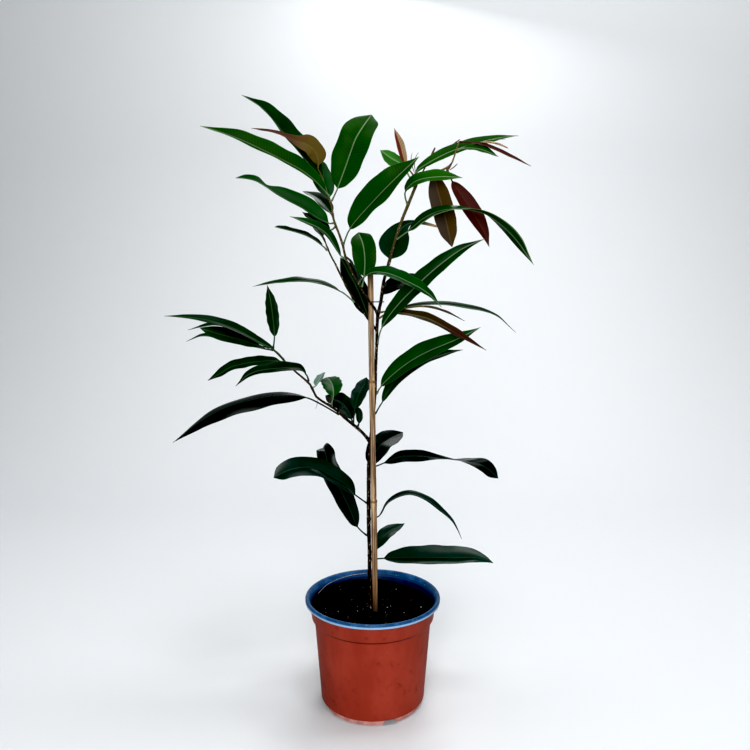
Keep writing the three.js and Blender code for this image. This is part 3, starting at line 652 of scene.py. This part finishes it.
def on_soil(angle, out, lift=0.0):
    x, y = out * math.cos(angle), out * math.sin(angle)
    return Vector((x, y, soil_height(x, y) + lift))


def lump(name, roughness, seed):
    """An uneven crumb about two units across."""
    crumb = added(name, bpy.ops.mesh.primitive_ico_sphere_add, subdivisions=2, radius=1)
    for corner in crumb.data.vertices:
        corner.co *= 1 + roughness * noise.noise(corner.co * 1.7 + Vector((seed, 0, 0)))
    return crumb


def tumbled(place, size, flat, chance):
    """A matrix for a crumb at a place, lying any way up."""
    direction = Vector((chance.uniform(-1, 1), chance.uniform(-1, 1), chance.uniform(0.2, 1))).normalized()
    sizes = (size, size * chance.uniform(0.6, 1), size * flat)
    return pointing(place, direction, chance.uniform(*ANY_TURN), sizes)


def soil_bits():
    chance = random.Random(SEED)
    clods, grains, crumbs = [], [], []
    for _ in range(CLOD_COUNT):
        out = SOIL_RADIUS * 0.97 * math.sqrt(chance.random())
        place = on_soil(chance.uniform(*ANY_TURN), out)
        clods.append(tumbled(place, chance.uniform(*CLOD_SIZES) * MM, 0.6, chance))
    for _ in range(PERLITE_COUNT):
        out = PERLITE_SPREAD * chance.random() ** 1.1
        size = (0.3 + 0.9 * chance.random() ** 4) * MM
        grains.append(tumbled(on_soil(chance.uniform(*ANY_TURN), out, 0.2 * MM), size, 0.8, chance))
    for _ in range(CRUMB_COUNT):
        angle = chance.gauss(-1.4, 0.7)
        out = chance.uniform(*CRUMB_PLACES) * MM
        crumbs.append(tumbled(on_soil(angle, out, 0.4 * MM), chance.uniform(*CRUMB_SIZES) * MM, 0.35, chance))
    clod = smoothed(repeated("soil_clods", lump("clod", 0.5, 3), clods), 35)
    grain = smoothed(repeated("perlite", lump("grain", 0.5, 8), grains), 35)
    crumb = smoothed(repeated("bark_crumbs", lump("crumb", 0.6, 5), crumbs), 35)
    given(clod, [moist_peat()])
    given(grain, [perlite_grain()])
    given(crumb, [bark_crumb()])


def strand(name, route, radius, sides=8):
    """A thin round strand along a list of points, thinner at both ends."""
    curve = bpy.data.curves.new(name, "CURVE")
    curve.dimensions = "3D"
    curve.bevel_depth = radius
    curve.bevel_resolution = (sides - 4) // 2
    curve.use_fill_caps = True
    spline = curve.splines.new("NURBS")
    spline.points.add(len(route) - 1)
    for i, place in enumerate(route):
        spline.points[i].co = (*place, 1)
        spline.points[i].radius = 0.35 if i in (0, len(route) - 1) else 1
    spline.use_endpoint_u = True
    spline.order_u = 4
    spline.resolution_u = 6
    piece = bpy.data.objects.new(name, curve)
    bpy.context.scene.collection.objects.link(piece)
    only(piece)
    bpy.ops.object.convert(target="MESH")
    piece.name = name
    return smoothed(tidied(piece, 1e-7), 60)


def soil_fibres():
    chance = random.Random(SEED + 1)
    fibres = []
    for i in range(FIBRE_COUNT):
        angle = chance.uniform(*ANY_TURN)
        out = chance.uniform(*FIBRE_PLACES) * MM
        heading = chance.uniform(*ANY_TURN)
        bend = chance.uniform(-0.5, 0.5)
        x, y = out * math.cos(angle), out * math.sin(angle)
        route = []
        for _ in range(FIBRE_POINTS):
            route.append(Vector((x, y, soil_height(x, y) + chance.uniform(*FIBRE_LIFTS) * MM)))
            x += FIBRE_STEP * math.cos(heading)
            y += FIBRE_STEP * math.sin(heading)
            heading += bend
            if math.hypot(x, y) > FIBRE_LIMIT:
                break
        if len(route) > 3:
            fibres.append(strand(f"fibre_{i}", route, chance.uniform(*FIBRE_RADII) * MM, 6))
    return given(joined("soil_fibres", fibres), [bark_crumb()])


def dry_root():
    paint = Paint("dry_root")
    grain = paint.clouds(600, 3)
    colour = paint.mix(grain.rise(0.35, 0.7), "#8c7d6c", "#c9bba6")
    return paint.finish(colour, 0.8)


def root_thread():
    root = modified(copied("root_thread", "root_strand"), "SUBSURF", levels=1, render_levels=1)
    return given(smoothed(root, 70), [dry_root()], ["root_thread"])


# ---------------------------------------------------------------- cane and tie


def end_centre(node, high):
    """The middle of a frame node's highest or lowest corners."""
    places = points_of(frame["nodes"][node])
    level = places[:, 2].max() if high else places[:, 2].min()
    return Vector(places[np.abs(places[:, 2] - level) < 1 * MM].mean(0))


def bamboo():
    paint = Paint("bamboo_skin")
    z = paint.parts(paint.place)[2]
    fibres = paint.clouds(700, 4, 0.6, paint.stretched((1, 1, 0.02)))
    blotches = paint.clouds(60, 4, 0.6, paint.stretched((1, 1, 0.25)))
    colour = paint.mix(fibres.rise(0.4, 0.62), "#513a25", "#b39a75")
    colour = paint.mix(blotches.rise(0.52, 0.7) * 0.7, colour, "#5c4029")
    stained = 1 - z.rise(125 * MM, 265 * MM)
    colour = paint.mix(stained * 0.55, colour, "#6a4526")
    soaked = 1 - z.rise(122 * MM, 150 * MM)
    colour = paint.mix(soaked * 0.75, colour, "#241610")
    for joint in CANE_JOINTS:
        band = 1 - abs(z - joint * MM).rise(0.6 * MM, 2.4 * MM)
        colour = paint.mix(band * 0.75, colour, "#5c3d24")
    paint.bump(fibres, 0.15 * MM, 0.7)
    return paint.finish(colour, 0.42 + blotches * 0.2)


def cane_radius(height):
    """The cane's radius in millimetres at a height: it swells at each joint, with a groove just above."""
    radius = CANE_RADIUS - CANE_TAPER * (height - 20) + CANE_WAVE * math.sin(height / CANE_WAVE_LENGTH)
    for joint in CANE_JOINTS:
        for rise, over, spread in JOINT_RELIEF:
            radius += rise * math.exp(-(((height - joint - over) / spread) ** 2))
    return radius


def bamboo_cane():
    foot, top = end_centre("bamboo_cane", False), end_centre("bamboo_cane", True)
    length = (top - foot).length / MM
    heights = set(np.arange(0, length - 2, CANE_STEP).tolist())
    for joint in CANE_JOINTS:
        heights |= {joint - foot.z / MM + step for step in JOINT_RINGS}
    rings = [(cane_radius(height + foot.z / MM) * MM, height * MM) for height in sorted(heights)]
    rings = [(CANE_FOOT_RADIUS * MM, -1 * MM)] + rings
    last = rings[-1][0]
    inward, down = CANE_TOP_CHAMFER
    mouth, bottom = CANE_HOLE_RADII
    rings += [(last, (length - down) * MM), (last - inward * MM, length * MM)]
    rings += [(mouth * MM, length * MM), (bottom * MM, (length - CANE_HOLE_DEPTH) * MM)]
    cane = ringed("cane_stick", CANE_SIDES, rings)
    placed(cane, pointing(foot, top - foot))
    return given(smoothed(cane, 45), [bamboo()], ["bamboo_cane"])


def coated_wire():
    paint = Paint("coated_wire")
    return paint.finish(paint.mix(paint.clouds(300), "#0c0c0c", "#1f1e1d"), 0.45)


def wire_tie():
    tie = modified(copied("tie", "wire_tie"), "SUBSURF", levels=2, render_levels=2)
    return given(smoothed(tie, 80), [coated_wire()], ["tie"])


# ---------------------------------------------------------------- stem


def fig_bark():
    paint = Paint("fig_bark")
    x, _, z = paint.parts(paint.place)
    flecks = 1 - paint.cells(420, paint.stretched((1, 1, 0.5))).rise(0.18, 0.3)
    rough = paint.clouds(260, 5, 0.65)
    colour = paint.mix(rough.rise(0.35, 0.7), "#0e0907", "#2b2019")
    young = (z.rise(0.5, 0.62) + abs(x + 10 * MM).rise(40 * MM, 110 * MM)) * 0.6
    colour = paint.mix(young, colour, "#625a34")
    colour = paint.mix(flecks * rough.rise(0.42, 0.55), colour, "#94866f")
    paint.bump(rough + flecks * 0.6, 0.35 * MM, 0.9)
    return paint.finish(colour, 0.62, Specular_IOR_Level=0.15)


def stem():
    """The woody stem, rounded, with leaf scars round the trunk and a swelling under each leaf stalk."""
    wood = copied("stem", "stem_wood")
    modified(wood, "REMESH", mode="VOXEL", voxel_size=STEM_VOXEL)
    modified(wood, "SMOOTH", factor=0.5, iterations=8)
    places = points_of(wood)
    normals = np.array([corner.normal for corner in wood.data.vertices])
    stalks = [leaf_rings(node)[0][0].mean(1) for node in leaf_nodes()]
    tree = KDTree(len(stalks))
    for i, stalk in enumerate(stalks):
        tree.insert(stalk, i)
    tree.balance()
    for i, place in enumerate(places):
        distance = tree.find(place)[2]
        grow = NODE_RISE * math.exp(-((distance / NODE_SPREAD) ** 2))
        grow += BARK_RISE * noise.fractal(Vector(place) * BARK_SCALE, 1.0, 2.0, 3)
        if place[2] < SCAR_TOP and abs(place[0]) < SCAR_SIDE:
            gap = min(abs(place[2] / MM - ring + 0.8 * math.sin(place[0] / MM)) for ring in STEM_RINGS)
            grow += SCAR_RISE * math.exp(-((gap / SCAR_SPREAD) ** 2))
        places[i] += normals[i] * grow
    moved_to(wood, places)
    return given(smoothed(wood, 80), [fig_bark()], ["stem"])


def bud_scale():
    paint = Paint("bud_scale")
    grain = paint.clouds(500, 4, 0.6, paint.stretched((1, 1, 0.3)))
    colour = paint.mix(grain.rise(0.35, 0.7), "#2c1c17", "#6b5048")
    paint.bump(grain, 0.12 * MM, 0.6)
    return paint.finish(colour, 0.55, Specular_IOR_Level=0.2)


def dry_husk():
    paint = Paint("dry_husk")
    grain = paint.clouds(350, 4, 0.6)
    colour = paint.mix(grain.rise(0.35, 0.65), "#5f4a3c", "#b09c86")
    paint.bump(grain, 0.15 * MM, 0.7)
    return paint.finish(colour, 0.7, Specular_IOR_Level=0.2)


def strands(name, rows):
    """Several thin strands as one piece, each row its places in millimetres and its radius."""
    made = []
    for i, (places, radius) in enumerate(rows):
        made.append(strand(f"{name}_{i}", [Vector(place) * MM for place in places], radius * MM))
    return joined(name, made)


def shoot_tips():
    given(strands("shoot_buds", SHOOT_BUDS), [bud_scale()])
    given(strands("dry_husks", DRY_HUSKS), [dry_husk()])


# ---------------------------------------------------------------- leaves


def leaf_nodes():
    return sorted(node for node in frame["nodes"] if node.startswith("leaf_"))


def steps_from(start):
    """The corners of a mesh in layers, by how many edges they are from the start."""
    layers, seen = [[start]], {start}
    while True:
        found = []
        for corner in layers[-1]:
            for edge in corner.link_edges:
                other = edge.other_vert(corner)
                if other not in seen:
                    seen.add(other)
                    found.append(other)
        if not found:
            return layers
        layers.append(found)


def leaf_rings(node):
    """A frame leaf's rings from the stem to the tip, and its tip. A ring holds the rib's top, the right edge,
    the rib's underside and the left edge."""
    grown = bmesh.new()
    grown.from_mesh(frame["nodes"][node].data)
    bmesh.ops.remove_doubles(grown, verts=grown.verts, dist=1e-6)
    starts = [corner for corner in grown.verts if len(corner.link_edges) == 4]
    layers = next(found for found in map(steps_from, starts) if all(len(layer) == 4 for layer in found[1:]))
    tip, ordered = layers[0][0], layers[:0:-1]

    def onward(corner, ring):
        return [edge.other_vert(corner) for edge in corner.link_edges if edge.other_vert(corner) in ring]

    edges = [corner for corner in ordered[0] if len(onward(corner, ordered[1])) == 1]
    ribs = [corner for corner in ordered[0] if corner not in edges]
    middle = (edges[0].co + edges[1].co) / 2
    over, under = sorted(ribs, key=lambda corner: (corner.co - middle).length)
    ahead = sum((corner.co for corner in ordered[1]), Vector()) / 4 - middle
    if ahead.cross(over.co - under.co).dot(edges[0].co - middle) > 0:
        right, left = edges
    else:
        left, right = edges
    rings = [(over, right, under, left)]
    for ring in ordered[1:]:
        right, left = onward(right, ring)[0], onward(left, ring)[0]
        over = next(corner for corner in onward(over, ring) if corner not in (right, left))
        under = next(corner for corner in onward(under, ring) if corner not in (right, left))
        rings.append((over, right, under, left))
    places = np.array([[list(corner.co) for corner in ring] for ring in rings])
    end = np.array(tip.co)
    grown.free()
    return places.transpose(0, 2, 1), end


def unit(vectors):
    return vectors / np.linalg.norm(vectors, axis=-1, keepdims=True)


def through(places, values, wanted):
    """Values at the wanted places, on a smooth curve through the known ones."""
    slopes = np.gradient(values, places, axis=0)
    cell = np.clip(np.searchsorted(places, wanted) - 1, 0, len(places) - 2)
    gap = (places[cell + 1] - places[cell])[:, None]
    share = (wanted - places[cell])[:, None] / gap
    before, after = values[cell], values[cell + 1]
    leaving, arriving = slopes[cell] * gap, slopes[cell + 1] * gap
    ease = share * share * (3 - 2 * share)
    bend = share * (1 - share)
    return before + (after - before) * ease + leaving * bend * (1 - share) - arriving * bend * share


class Growth:
    """A leaf's lines, read from its frame node: the midrib, the way up and the reach of each half."""

    def __init__(self, node):
        rings, tip = leaf_rings(node)
        over, right, under, left = (rings[:, :, i] for i in range(4))
        up = unit(over - under)
        centre = over - up * RIB_OVER
        centre[:STALK_RINGS] = (right[:STALK_RINGS] + left[:STALK_RINGS]) / 2
        self.centres = np.vstack([centre, tip])
        self.ups = np.vstack([up, up[-1:]])
        nothing = np.zeros((1, 3))
        self.rights = np.vstack([right - centre, nothing])
        self.lefts = np.vstack([left - centre, nothing])
        steps = np.linalg.norm(np.diff(self.centres, axis=0), axis=1)
        self.places = np.concatenate([[0], np.cumsum(steps)])
        self.start = self.places[STALK_RINGS - 1]
        self.length = self.places[-1] - self.start

    def at(self, lines, wanted):
        return through(self.places, lines, wanted)


def blade_blank():
    """The flat sheet that every blade is shaped from: x is across and y along, both from -1 to 1."""
    return added(
        "blade_blank",
        bpy.ops.mesh.primitive_grid_add,
        x_subdivisions=BLADE_ACROSS,
        y_subdivisions=BLADE_ALONG,
        size=2,
    )


def rib_blank():
    """The round rod that every stalk and midrib is shaped from, one unit long and one in radius."""
    rings = [(1, ring / RIB_RINGS) for ring in range(RIB_RINGS + 1)]
    return ringed("rib_blank", RIB_SIDES, rings)


def marked(piece, name, values):
    layer = piece.data.attributes.new(name, "FLOAT_VECTOR", "POINT")
    layer.data.foreach_set("vector", np.asarray(values, dtype=np.float32).ravel())


def shaped_blade(blank, growth, chance):
    """The blade: two cambered halves with wavy margins and lateral veins, thinnest at the margin."""
    blade = blank.copy()
    blade.data = blank.data.copy()
    bpy.context.scene.collection.objects.link(blade)
    flat = points_of(blade)
    across = flat[:, 0]
    run = (flat[:, 1] + 1) / 2
    along = 0.65 * run + 0.35 * (0.5 - 0.5 * np.cos(math.pi * run))
    place = growth.start + along * growth.length
    centre = growth.at(growth.centres, place)
    up = unit(growth.at(growth.ups, place))
    reach = np.where(across[:, None] >= 0, growth.at(growth.rights, place), growth.at(growth.lefts, place))
    half = np.linalg.norm(reach, axis=1)
    outward = reach / np.maximum(half, 1e-6)[:, None]
    half = np.maximum(half, LEAST_REACH)
    rise = unit(up - outward * (up * outward).sum(1, keepdims=True))
    out = np.abs(across)
    camber = chance.uniform(*CAMBERS)
    waves = chance.uniform(*WAVES)
    turns = chance.uniform(*WAVE_TURNS)
    phase = np.where(across >= 0, chance.uniform(*ANY_TURN), chance.uniform(*ANY_TURN))
    ripples = 1 + np.sin(2 * math.pi * turns * 1.6 * along + 2 * phase)
    half = half * (1 - chance.uniform(*DIPS) * ripples)
    lift = camber * half * 4 * out * (1 - out)
    lift += waves * half * out**2 * np.sin(2 * math.pi * turns * along + phase)
    reach_mm, along_mm = out * half / MM, along * growth.length / MM
    veins = np.cos(2 * math.pi * (along_mm - VEIN_LEAN * reach_mm) / VEIN_SPACING)
    lift -= VEIN_RISE * np.clip(veins, 0, 1) ** 2 * np.sin(math.pi * np.clip(out, 0, 1))
    moved_to(blade, centre + outward * (out * half)[:, None] + rise * lift[:, None])
    marked(blade, "share", np.column_stack([across, along, np.full(len(out), chance.random())]))
    marked(blade, "reach", np.column_stack([reach_mm, along_mm, (1 - out) * half / MM]))
    body = blade.vertex_groups.new(name="body")
    for i, edge in enumerate(out):
        body.add([i], float(1 - EDGE_THINNING * edge**3), "REPLACE")
    modified(
        blade,
        "SOLIDIFY",
        thickness=BLADE_THICKNESS,
        offset=-1,
        vertex_group="body",
        material_offset=1,
    )
    return blade


def shaped_rib(blank, growth, chance):
    """The stalk and the midrib it runs into: flat on the blade's upper side and round under it."""
    rib = blank.copy()
    rib.data = blank.data.copy()
    bpy.context.scene.collection.objects.link(rib)
    rod = points_of(rib)
    whole = growth.start + growth.length
    place = rod[:, 2] * whole
    along = (place - growth.start) / growth.length
    centre = growth.at(growth.centres, place)
    up = unit(growth.at(growth.ups, place))
    ahead = unit(growth.at(growth.centres, place + 0.5 * MM) - growth.at(growth.centres, place - 0.5 * MM))
    side = unit(np.cross(ahead, up))
    up = np.cross(side, ahead)
    on_blade = np.clip((along + 0.03) / 0.06, 0, 1)
    fullness = min(1, np.linalg.norm(growth.rights, axis=1).max() / (14 * MM))
    width = np.interp(along, RIB_PLACES, RIB_WIDTHS) * MM
    width = width * np.where(along > 0, 0.4 + 0.6 * fullness, 1)
    depth = np.interp(along, RIB_PLACES, RIB_DEPTHS) * MM
    halves = unit(growth.at(growth.rights, place)), unit(growth.at(growth.lefts, place) + 1e-9)
    valley = np.clip(sum((half * up).sum(1) for half in halves) / 2, 0, 0.7)
    foot = np.exp(-((place / RIB_FOOT) ** 2))
    width = width * (1 + 0.45 * foot)
    depth = depth * (1 + 0.45 * foot)
    proud = np.where(rod[:, 1] > 0, 1 - 0.35 * on_blade, 1)
    sink = on_blade * (depth * 0.65 - 0.14 * MM - 0.7 * width * valley)
    places = centre + side * (rod[:, 0] * width)[:, None]
    places += up * (rod[:, 1] * depth * proud - sink)[:, None]
    places -= ahead * (np.where(rod[:, 2] < 1e-4, 1.2 * MM, 0))[:, None]
    moved_to(rib, places)
    marked(rib, "share", np.column_stack([rod[:, 0], along, np.full(len(along), chance.random())]))
    marked(rib, "reach", np.column_stack([np.zeros(len(along)), along * growth.length / MM, width / MM]))
    for face in rib.data.polygons:
        face.material_index = 2
    return rib


class Look(NamedTuple):
    """The colours of a kind of leaf, and how its upper side takes the light."""

    deep: str
    light: str
    under: str
    rib: str
    stalk: str
    roughness: float
    shine: float = 0.04
    ruffle: float = 0
    right: str = ""
    tip: str = ""
    tip_from: tuple = (0.72, 0.88)
    margin: str = ""


# Upper side where it is dark and where it is light, underside, midrib, stalk and roughness. A look may also
# have its own shine, depth of the ruffles along its veins, right half, tip or margin.
LOOKS = {
    "mature": Look("#05220b", "#124516", "#0a200a", "#f6ffe8", "#66683a", 0.25),
    "lower": Look("#000a06", "#03281b", "#03120a", "#57705c", "#54562e", 0.2, shine=0.09, ruffle=-1.5),
    "glossy": Look("#000c09", "#03241a", "#03120a", "#4d6854", "#54562e", 0.16, shine=0.14, ruffle=-2.5),
    "glazed": Look("#042419", "#0b4632", "#03120a", "#4d6854", "#54562e", 0.16, shine=0.14, ruffle=-2.5),
    "shaded": Look("#03190a", "#0c3616", "#081a0c", "#869f78", "#5c5e34", 0.25),
    "silver": Look("#5c7468", "#84988c", "#84988c", "#c4d4c4", "#54562e", 0.3),
    "fresh": Look("#133c07", "#255c0f", "#285422", "#f4fde4", "#76803c", 0.34),
    "bronze": Look(
        "#403e1a", "#564a26", "#5e4a2c", "#a39464", "#7a5a30", 0.36,
        tip="#482d24", tip_from=(0.22, 0.6),
    ),
    "olive": Look(
        "#2c2612", "#40351c", "#4e3e22", "#e6dcb4", "#7a5a30", 0.32,
        tip="#38201a", tip_from=(0.35, 0.75),
    ),
    "maroon": Look("#2d1513", "#42211e", "#5a2a24", "#8c5a4c", "#6a3426", 0.36),
    "two_tone": Look("#3c301a", "#4c3c20", "#54482e", "#9a8a70", "#6a5634", 0.38, right="#41382f"),
    "spike": Look("#48211c", "#602f27", "#8a5a3a", "#d8b490", "#7a5a30", 0.4, right="#8f7d64"),
    "pale": Look("#356a2c", "#4c803e", "#a4c88c", "#e8f4d0", "#6d7a34", 0.25),
    "scorched": Look("#02180c", "#0a3420", "#1e3a2c", "#93a886", "#4c4c26", 0.3, tip="#b89a78"),
    "pale_margin": Look("#062c0c", "#164f18", "#1c3a1a", "#e4f0d0", "#5a5c2a", 0.28, margin="#8fa878"),
}

SLOT_LOOKS = {"leaf_dark": "mature", "leaf_young": "fresh", "leaf_bronze": "bronze", "leaf_red": "maroon"}
OWN_LOOKS = {
    "leaf_left_02": "fresh",
    "leaf_left_12": "shaded",
    "leaf_left_13": "shaded",
    "leaf_right_03": "olive",
    "leaf_right_06": "shaded",
    "leaf_right_07": "scorched",
    "leaf_right_08": "pale_margin",
    "leaf_right_09": "two_tone",
    "leaf_right_12": "fresh",
    "leaf_right_15": "spike",
    "leaf_right_16": "pale",
    "leaf_right_17": "lower",
    **{f"leaf_side_{number:02}": "shaded" for number in (2, 3, 4, 5, 6, 7, 8)},
    "leaf_side_10": "mature",
    "leaf_side_09": "silver",
    **{f"leaf_trunk_{number:02}": "glossy" for number in (1, 6, 7)},
    "leaf_trunk_04": "glazed",
}


def veins_on(paint, reach, along):
    """1 on each lateral vein and 0 between them."""
    return (abs(((along - reach * VEIN_LEAN) / VEIN_SPACING) % 1 - 0.5) * 2).rise(0.72, 0.97)


def blade_upper(name, look):
    paint = Paint(f"{name}_upper")
    across, along, own = paint.attribute("share")
    reach, run, margin = paint.attribute("reach")
    clouds = paint.clouds(38, 4)
    fine = paint.clouds(420, 3, 0.6)
    colour = paint.mix((clouds * 0.7 + own * 0.6 - 0.15).rise(0.2, 0.85), look.deep, look.light)
    if look.right:
        colour = paint.mix(across.rise(-0.02, 0.02), colour, look.right)
    veins = veins_on(paint, reach, run)
    colour = paint.mix(veins * 0.35, colour, look.light)
    colour = paint.mix((1 - reach.rise(0.4, 1.2)) * 0.12, colour, look.rib)
    if look.tip:
        colour = paint.mix(along.rise(*look.tip_from), colour, look.tip)
    edge = 1 - margin.rise(0.15, 0.55)
    colour = paint.mix(edge * 0.05, colour, look.margin or look.rib)
    if look.margin:
        colour = paint.mix(across.rise(0.7, 0.95) * 0.5, colour, look.margin)
    ruffles = veins * look.ruffle
    paint.bump(fine + ruffles, 0.03 * MM, 0.5)
    return paint.finish(
        colour, look.roughness + fine * 0.08 + clouds * 0.08, Specular_IOR_Level=look.shine
    )


def blade_under(name, look):
    paint = Paint(f"{name}_underside")
    reach, run, _ = paint.attribute("reach")
    clouds = paint.clouds(60, 4)
    veins = veins_on(paint, reach, run)
    colour = paint.mix(clouds.rise(0.3, 0.7) * 0.5, look.under, look.light)
    colour = paint.mix(veins * 0.02, colour, look.rib)
    paint.bump(veins, 0.05 * MM, 0.5)
    return paint.finish(colour, 0.52 + clouds * 0.1, Specular_IOR_Level=0.05)


def midrib_skin(name, look):
    paint = Paint(f"{name}_rib")
    along = paint.attribute("share")[1]
    colour = paint.mix(along.rise(-0.08, 0.1), look.stalk, look.rib)
    colour = paint.mix(along.rise(0.75, 1.0) * 0.8, colour, look.tip or "#3f3a20")
    colour = paint.mix(paint.clouds(300, 3).rise(0.5, 0.8) * 0.15, colour, look.deep)
    return paint.finish(colour, 0.45, Specular_IOR_Level=0.3)


def look_of(node, slot):
    group = node.split("_")[1]
    if slot == "leaf_dark" and group in ("trunk", "side"):
        return OWN_LOOKS.get(node, "lower")
    return OWN_LOOKS.get(node, SLOT_LOOKS[slot])


def leaves():
    slots = {part["node"]: part["material_slot"] for part in frame["record"]["subparts"]}
    finishes = {
        name: [blade_upper(name, look), blade_under(name, look), midrib_skin(name, look)]
        for name, look in LOOKS.items()
    }
    sheet, rod = blade_blank(), rib_blank()
    for number, node in enumerate(leaf_nodes()):
        chance = random.Random(SEED * 100 + number)
        growth = Growth(node)
        leaf = joined(f"{node}_grown", [shaped_blade(sheet, growth, chance), shaped_rib(rod, growth, chance)])
        given(smoothed(leaf, 60), finishes[look_of(node, slots[node])], [node])
    bpy.data.objects.remove(sheet)
    bpy.data.objects.remove(rod)


# ---------------------------------------------------------------- studio


def backdrop():
    """A pale floor that sweeps up into the wall behind."""
    floor = added("studio_floor", bpy.ops.mesh.primitive_plane_add, size=FLOOR_WIDTH, location=(0, 0, 0))
    bpy.ops.object.mode_set(mode="EDIT")
    bpy.ops.mesh.select_all(action="DESELECT")
    bpy.ops.object.mode_set(mode="OBJECT")
    for corner in floor.data.vertices:
        corner.co.y = WALL_BACK if corner.co.y > 0 else FLOOR_FRONT
    for edge in floor.data.edges:
        edge.select = all(floor.data.vertices[i].co.y > 0 for i in edge.vertices)
    for corner in floor.data.vertices:
        corner.select = corner.co.y > 0
    bpy.ops.object.mode_set(mode="EDIT")
    bpy.ops.mesh.extrude_region_move(TRANSFORM_OT_translate={"value": (0, 0, WALL_HEIGHT)})
    bpy.ops.object.mode_set(mode="OBJECT")
    modified(floor, "BEVEL", width=SWEEP, segments=24, limit_method="ANGLE")
    smoothed(floor, 60)
    paint = Paint("studio_paint")
    floor.data.materials.append(paint.finish("#cbcdcf", 0.9))


def light(name, place, aim, size, power, colour=(1, 1, 1)):
    lamp = bpy.data.lights.new(name, "AREA")
    lamp.shape = "RECTANGLE"
    lamp.size, lamp.size_y = size
    lamp.energy = power
    lamp.color = colour
    holder = bpy.data.objects.new(name, lamp)
    holder.location = place
    holder.rotation_euler = (Vector(aim) - Vector(place)).to_track_quat("-Z", "Y").to_euler()
    bpy.context.scene.collection.objects.link(holder)


def studio():
    backdrop()
    light("window", (-0.1, -2.3, 1.05), PLANT_MIDDLE, size=(1.1, 1.2), power=66, colour=WARM)
    light("fill", (1.5, -1.4, 0.9), PLANT_MIDDLE, size=(0.8, 0.8), power=3, colour=COOL)
    light("over", (0.1, -0.6, 2.0), PLANT_MIDDLE, size=(0.5, 0.4), power=12, colour=COOL)
    light("wall", (0.6, 0.1, 2.9), (0.5, 2.2, 0.1), size=(2.8, 0.9), power=56)
    light("behind", (0.3, 1.5, 2.0), (0, 0, 0.45), size=(1.0, 0.8), power=18)
    world = bpy.data.worlds.new("studio_air")
    world.use_nodes = True
    air = world.node_tree.nodes["Background"]
    air.inputs["Color"].default_value = AIR_COLOUR
    air.inputs["Strength"].default_value = AIR_STRENGTH
    bpy.context.scene.world = world
    view = bpy.context.scene.view_settings
    view.view_transform = "Standard"
    view.gamma = GAMMA
    view.use_curve_mapping = True
    view.curve_mapping.black_level = (BLACK_LEVEL,) * 3
    camera = bpy.data.cameras.new("camera")
    camera.lens = CAMERA_LENS
    camera.sensor_width = 36
    holder = bpy.data.objects.new("camera", camera)
    holder.location = CAMERA_PLACE
    holder.rotation_euler = (math.pi / 2 - CAMERA_DIP, 0, 0)
    bpy.context.scene.collection.objects.link(holder)
    bpy.context.scene.camera = holder


nursery_pot()
potting_soil()
soil_bits()
soil_fibres()
root_thread()
bamboo_cane()
wire_tie()
stem()
shoot_tips()
leaves()
studio()
